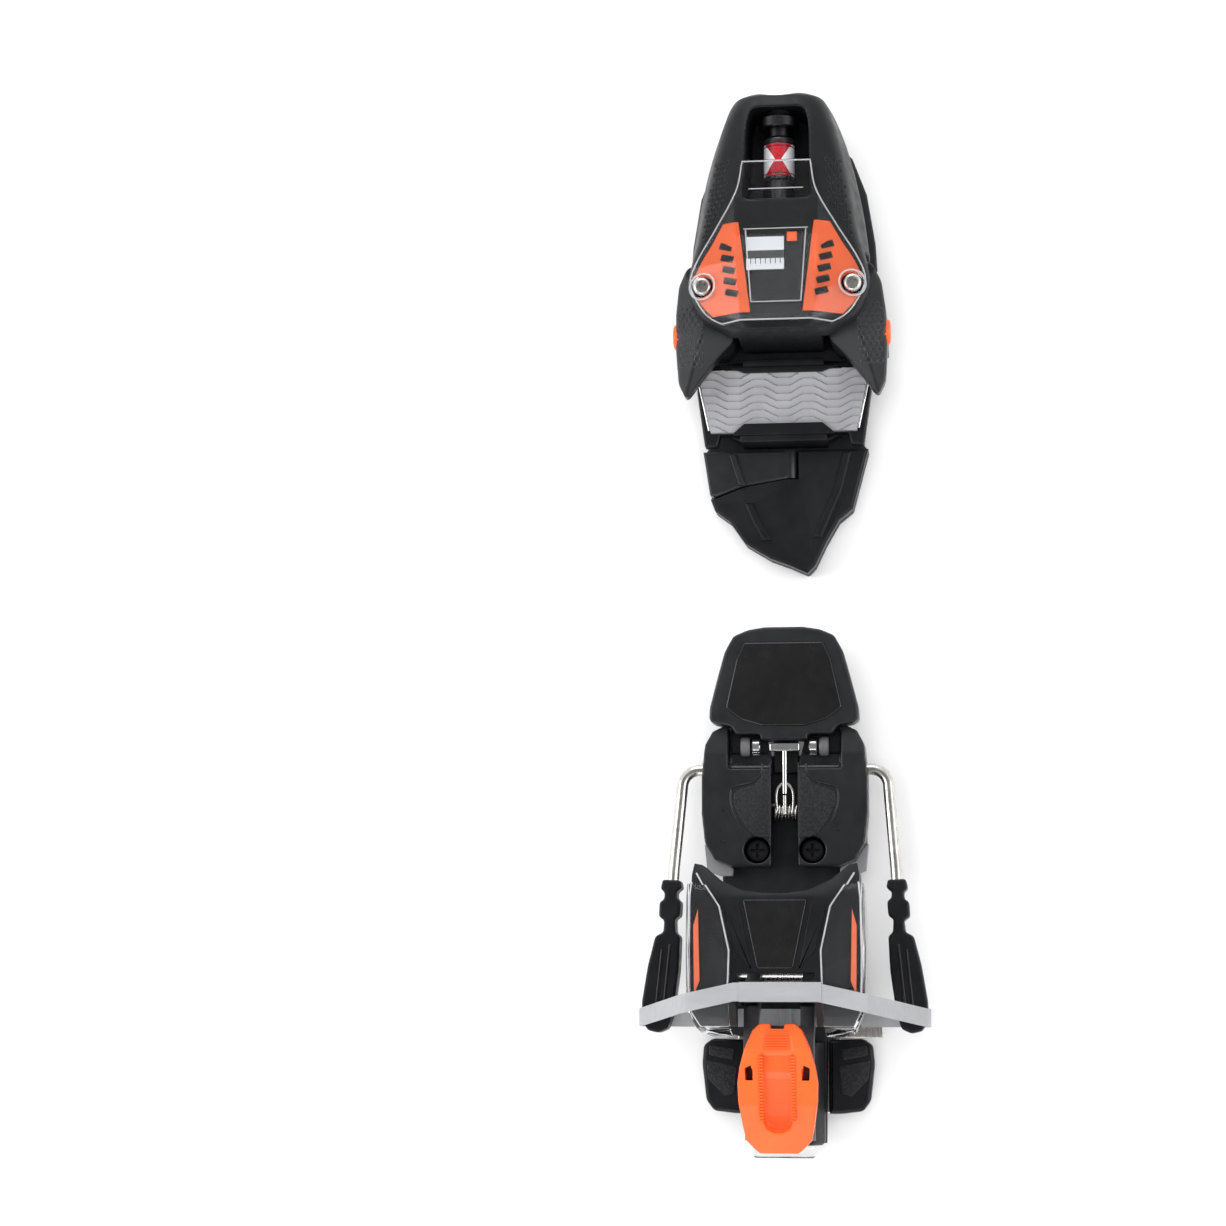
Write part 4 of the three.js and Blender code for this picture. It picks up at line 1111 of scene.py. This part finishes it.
def brake_link_and_spring():
    bracket = moulding("link_moulding", "y", rounded(
        [(-183.6, 20), (-180.2, 20), (-180.2, 23.4), (-183.6, 23.4)], 0.8), -5.8, 5.8, CHROME,
        0.5, 0.5)
    rod = peg("x", 1.0, (0, 22.2), -200, -182)
    carve(bracket, rod, operation="UNION")
    give(smooth(bracket), "brake_link")
    wound = spring("brake_spring_wound", "y", (-206.6, -4.6, 18.4), 2.6, 0.62, 9.2, 7, STEEL)
    give(wound, "brake_spring")
    loop = blended_path([(-207, 3, 20.8), (-202, 3.4, 21.6), (-198.6, 3, 21.9),
                         (-196.6, 1.6, 22), (-196, 0, 22), (-196.6, -1.6, 22),
                         (-198.6, -3, 21.9), (-202, -3.4, 21.6), (-207, -3, 20.8)], 6)
    fix(bead("brake_clip", loop, 0.62, STEEL), "carriage")
    leg = [(-200.6, 0, 22.2), (-207.8, 0, 21.6)]
    fix(bead("brake_clip_leg", leg, 0.8, STEEL), "carriage")


def cup():
    refined("cup_housing", 1.1, 3)
    panel = moulding("cup_panel", "z", rounded(both_halves([(-243.4, 11.8), (-268.6, 6.6)]), 1),
                     CUP_TOP - 0.2, CUP_TOP + 0.7, GLOSS, 0, 0.5)
    fix(smooth(panel, 50), "cup")
    for side, name in SIDES:
        refined("cup_cover_" + name, 0.35)
        stripe = moulding("cup_stripe_" + name, "z", on_side(
            [(-247, 28.2), (-253, 29.9), (-278, 29.6), (-273, 27.6)], side),
            CUP_TOP - 0.1, CUP_TOP + 0.22, STRIPE, 0, 0.1)
        fix(stripe, "cup")
        # Milky white beads along the edges of the clear cup covers are painted highlights.
        top = CUP_TOP + 1.55
        highlight_paths = {
            "outer": [(-237, 30.6, top - 1.9), (-243.5, 31.4, top), (-262, 31.9, top),
                      (-281, 31.4, top)],
            "front": [(-238, 26.4, top - 1.6), (-233.6, 29, top - 3.6)],
            "inner": [(-238, 25.6, top - 1.6), (-246, 20.3, top), (-262, 16.8, top),
                      (-280, 17.4, top)],
        }
        for line, path in highlight_paths.items():
            run = [(x, side * y, z) for x, y, z in path]
            fix(bead("cup_%s_line_%s" % (line, name), run, 0.32, HIGHLIGHT_BEAD), "cup")
        facet = [(-244, 13.4), (-247, 18.6), (-262, 14.6), (-269, 8.6)]
        plate = moulding("cup_facet_" + name, "z", rounded(on_side(facet, side), 0.8),
                         CUP_TOP - 0.2, CUP_TOP + 0.45, SHELL, 0, 0.35)
        fix(smooth(plate, 50), "cup")


CAP_RIDGE = [(-337, 57.6), (-318, 65), (-298, 68.6), (-287, 66)]


def cap_top(x):
    """Height of the lever cap's top face."""
    for (x0, z0), (x1, z1) in zip(CAP_RIDGE, CAP_RIDGE[1:]):
        if x <= x1:
            return between(z0, z1, (x - x0) / (x1 - x0))
    return CAP_RIDGE[-1][1]


def lever():
    cap = new_object("cap_moulding", merged_copy("lever_cap"), ORANGE)
    trough = moulding("cutter", "z", rounded(both_halves(
        [(-292, 5.2), (-300, 5.9), (-321, 5.6), (-325.6, 4.4), (-327, 1.6)]), 1.4), 40, 90,
        SHELL)
    floor = moulding("cutter", "y", [
        (-288, 90), (-288, 66), (-293, 67), (-298, 68), (-303, 66.4), (-308, 63.4),
        (-322, 58.6), (-328.4, 57.4), (-328.4, 90)], -30, 30, SHELL)
    carve(trough, floor, operation="INTERSECT")
    carve(cap, trough)
    melted(cap, 0.4, 2)
    for side in (1, -1):
        carve(cap, moulding("cutter", "z", rounded(on_side(
            [(-303.4, 9.6), (-309, 8.9), (-309, 11.8), (-304.6, 12)], side), 0.4),
            50, 90, SHELL))
    give(smooth(cap, 45), "lever_cap")
    owner = BODY["lever_cap"]
    for side, name in SIDES:
        start = (-300.5, side * 5.9, cap_top(-300.5) + 0.1)
        run = bars("cap_ribs_" + name, 22, start, (-1.1, 0, -1.1 * 0.18), (0.55, 1.5, 1.1),
                   ORANGE, (0, -10, 0))
        fix(run, owner)
    steps = bars("cap_steps", 8, (-290.6, 0, cap_top(-290.6) + 0.05),
                 (-0.95, 0, 0.95 * 0.236), (0.45, 8.4, 0.6), ORANGE, (0, 13, 0))
    fix(steps, owner)
    refined("lever_arms", 1.2, 3)


def rear_pads():
    for side, name in SIDES:
        plan = rounded(on_side([
            (-294, 15.6), (-293.4, 29), (-296, 32.6), (-303, 33.2), (-317, 31.6),
            (-321, 28.6), (-322, 20), (-322, 15.6)], side), 1.4)
        pad = moulding("rear_pad_moulding_" + name, "z", plan, 4, 10.6, SHELL, 0, 1.6, 5)
        give(smooth(pad, 50), "rear_pad_" + name)
        for k, patch in enumerate((
            [(-301.6, 31.6), (-309, 30.8), (-315.4, 24.4), (-314.2, 20.6), (-304, 19.4)],
            [(-296, 30.4), (-299.8, 30.6), (-301.6, 21), (-297.4, 20.6)],
        )):
            plate = moulding("rear_patch_%s_%d" % (name, k), "z",
                             rounded(on_side(patch, side), 0.8), 10.3, 10.95, GRAINED, 0, 0.3)
            fix(smooth(plate, 50), "carriage")


def ribbon(name, path, width, thick, mat):
    """Flat strap, width along X, through a path of (x, y, z)."""
    rings = []
    for i, (x, y, z) in enumerate(path):
        a, b = path[max(i - 1, 0)], path[min(i + 1, len(path) - 1)]
        across = Vector((b[1] - a[1], b[2] - a[2])).normalized()
        oy, oz = -across.y * thick / 2, across.x * thick / 2
        w = width / 2
        rings.append([(x + w, y + oy, z + oz), (x - w, y + oy, z + oz),
                      (x - w, y - oy, z - oz), (x + w, y - oy, z - oz)])
    return lofted(name, rings, mat)


def band():
    route = rounded([(0, STRAP_Z), (12, STRAP_Z), (20, STRAP_Z), (27, STRAP_Z), (33.2, 78.2),
                     (34.4, 76.6), (44, 56), (54.8, 33.6), (55.1, 20.6), (53.8, 19.1),
                     (30, 19.1), (0, 19.1), (-30, 48)], 3, 6)
    route = route[7:-7]
    for side, name in SIDES:
        path = []
        for y, z in route:
            slant = max(0, min(1, (y - 15) / 39)) if z > 30 else 1
            path.append((STRAP_X - 8.6 * slant, side * y, z))
        path = [(STRAP_X, 0, STRAP_Z)] + path
        strap = ribbon("band_" + name, path, 6.8, 0.7, BAND)
        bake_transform(strap)
        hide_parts("transport_band")
    MADE.add("transport_band")
    over = ribbon("band_overlap", [(STRAP_X, y, 78.62) for y in range(-17, 14, 3)], 7.2, 0.5,
                  BAND)
    fix(over, "carriage")
    teeth = bars("band_teeth", 26, (STRAP_X, -15.6, 78.74), (0, 1.1, 0), (6.6, 0.45, 0.3),
                 BAND)
    fix(teeth, "carriage")


brake_pad()
for side, name in SIDES:
    brake_housing(side, name)
brake_floor()
for side, name in SIDES:
    brake_side(side, name)
brake_link_and_spring()
cup()
lever()
rear_pads()
band()
heel_coil = spring("heel_spring_wound", "x", (-328.6, 0, 20), 6.3, 1.1, 29.6, 7, DARK_STEEL)
give(heel_coil, "heel_release_spring")


# ---------- the remaining CAD pieces, with rounded edges ----------

EDGES = {
    "toe_base_plate": 0.6, "toe_chassis": 0.8, "glide_carrier": 0.5, "glide_tray": 0.5,
    "tail_plate": 0.5, "height_lever": 0.8, "heel_carriage": 0.6, "heel_spring_case": 0.7,
    "release_indicator": 0.1, "release_scale_plate": 0.08,
}

for node in NODES:
    if node not in MADE:
        refined(node, EDGES.get(node, 0.25))


# ---------- floor, light and camera ----------

def studio():
    bpy.context.scene.view_settings.view_transform = "Standard"
    bpy.ops.mesh.primitive_plane_add(size=6, location=(0, 0, -0.0005))
    floor = bpy.context.object
    floor.name = "floor"
    f = Finish("pale floor").set(Roughness=0.7)
    f.colour(f.blend(f.noise(8, 2), (0.86, 0.86, 0.86), (0.88, 0.88, 0.88)))
    floor.data.materials.append(f.mat)
    world = bpy.data.worlds.new("studio")
    bpy.context.scene.world = world
    world.use_nodes = True
    sky, tree = world.node_tree.nodes["Background"], world.node_tree
    place = tree.nodes.new("ShaderNodeTexCoord")
    split = tree.nodes.new("ShaderNodeSeparateXYZ")
    glow = tree.nodes.new("ShaderNodeValToRGB")
    tree.links.new(place.outputs["Generated"], split.inputs[0])
    tree.links.new(split.outputs["Z"], glow.inputs[0])
    tree.links.new(glow.outputs["Color"], sky.inputs["Color"])
    steps = ((0.0, 0.35), (0.3, 1.0), (0.72, 1.0), (0.9, 0.22))
    for k, (height, level) in enumerate(steps):
        stop = glow.color_ramp.elements[k] if k < 2 else glow.color_ramp.elements.new(height)
        stop.position = height
        stop.color = (level, level, level, 1)
    sky.inputs["Strength"].default_value = 1.05
    for name, place, size, power, seen in (
        ("left", (-0.1, 1.3, 0.8), 0.9, 10, True), ("right", (-0.2, -1.3, 0.9), 0.9, 8, True),
        ("front", (1.4, 0.2, 0.8), 0.8, 7, True), ("rear", (-1.5, 0.3, 0.8), 0.8, 6, True),
        ("top", (-0.1, 0, 2.2), 1.5, 22, False),
    ):
        lamp = bpy.data.lights.new(name, "AREA")
        lamp.size = size
        lamp.energy = power
        obj = bpy.data.objects.new(name, lamp)
        obj.location = place
        obj.visible_glossy = seen
        aim = Vector((-0.12, 0, 0)) - Vector(place)
        obj.rotation_euler = aim.to_track_quat("-Z", "Y").to_euler()
        bpy.context.scene.collection.objects.link(obj)


def camera():
    eye = Vector((-0.300, -0.082, 1.170))
    target = Vector((-0.1252, 0.070, 0))
    back = (eye - target).normalized()
    roll = math.radians(0.25)
    up = Vector((math.cos(roll), math.sin(roll), 0))
    right = up.cross(back).normalized()
    up = back.cross(right)
    cam = bpy.data.cameras.new("camera")
    cam.lens = 87.6
    cam.sensor_width = 36
    obj = bpy.data.objects.new("camera", cam)
    obj.matrix_world = Matrix((
        (right.x, up.x, back.x, eye.x), (right.y, up.y, back.y, eye.y),
        (right.z, up.z, back.z, eye.z), (0, 0, 0, 1),
    ))
    bpy.context.scene.collection.objects.link(obj)
    bpy.context.scene.camera = obj


studio()
camera()
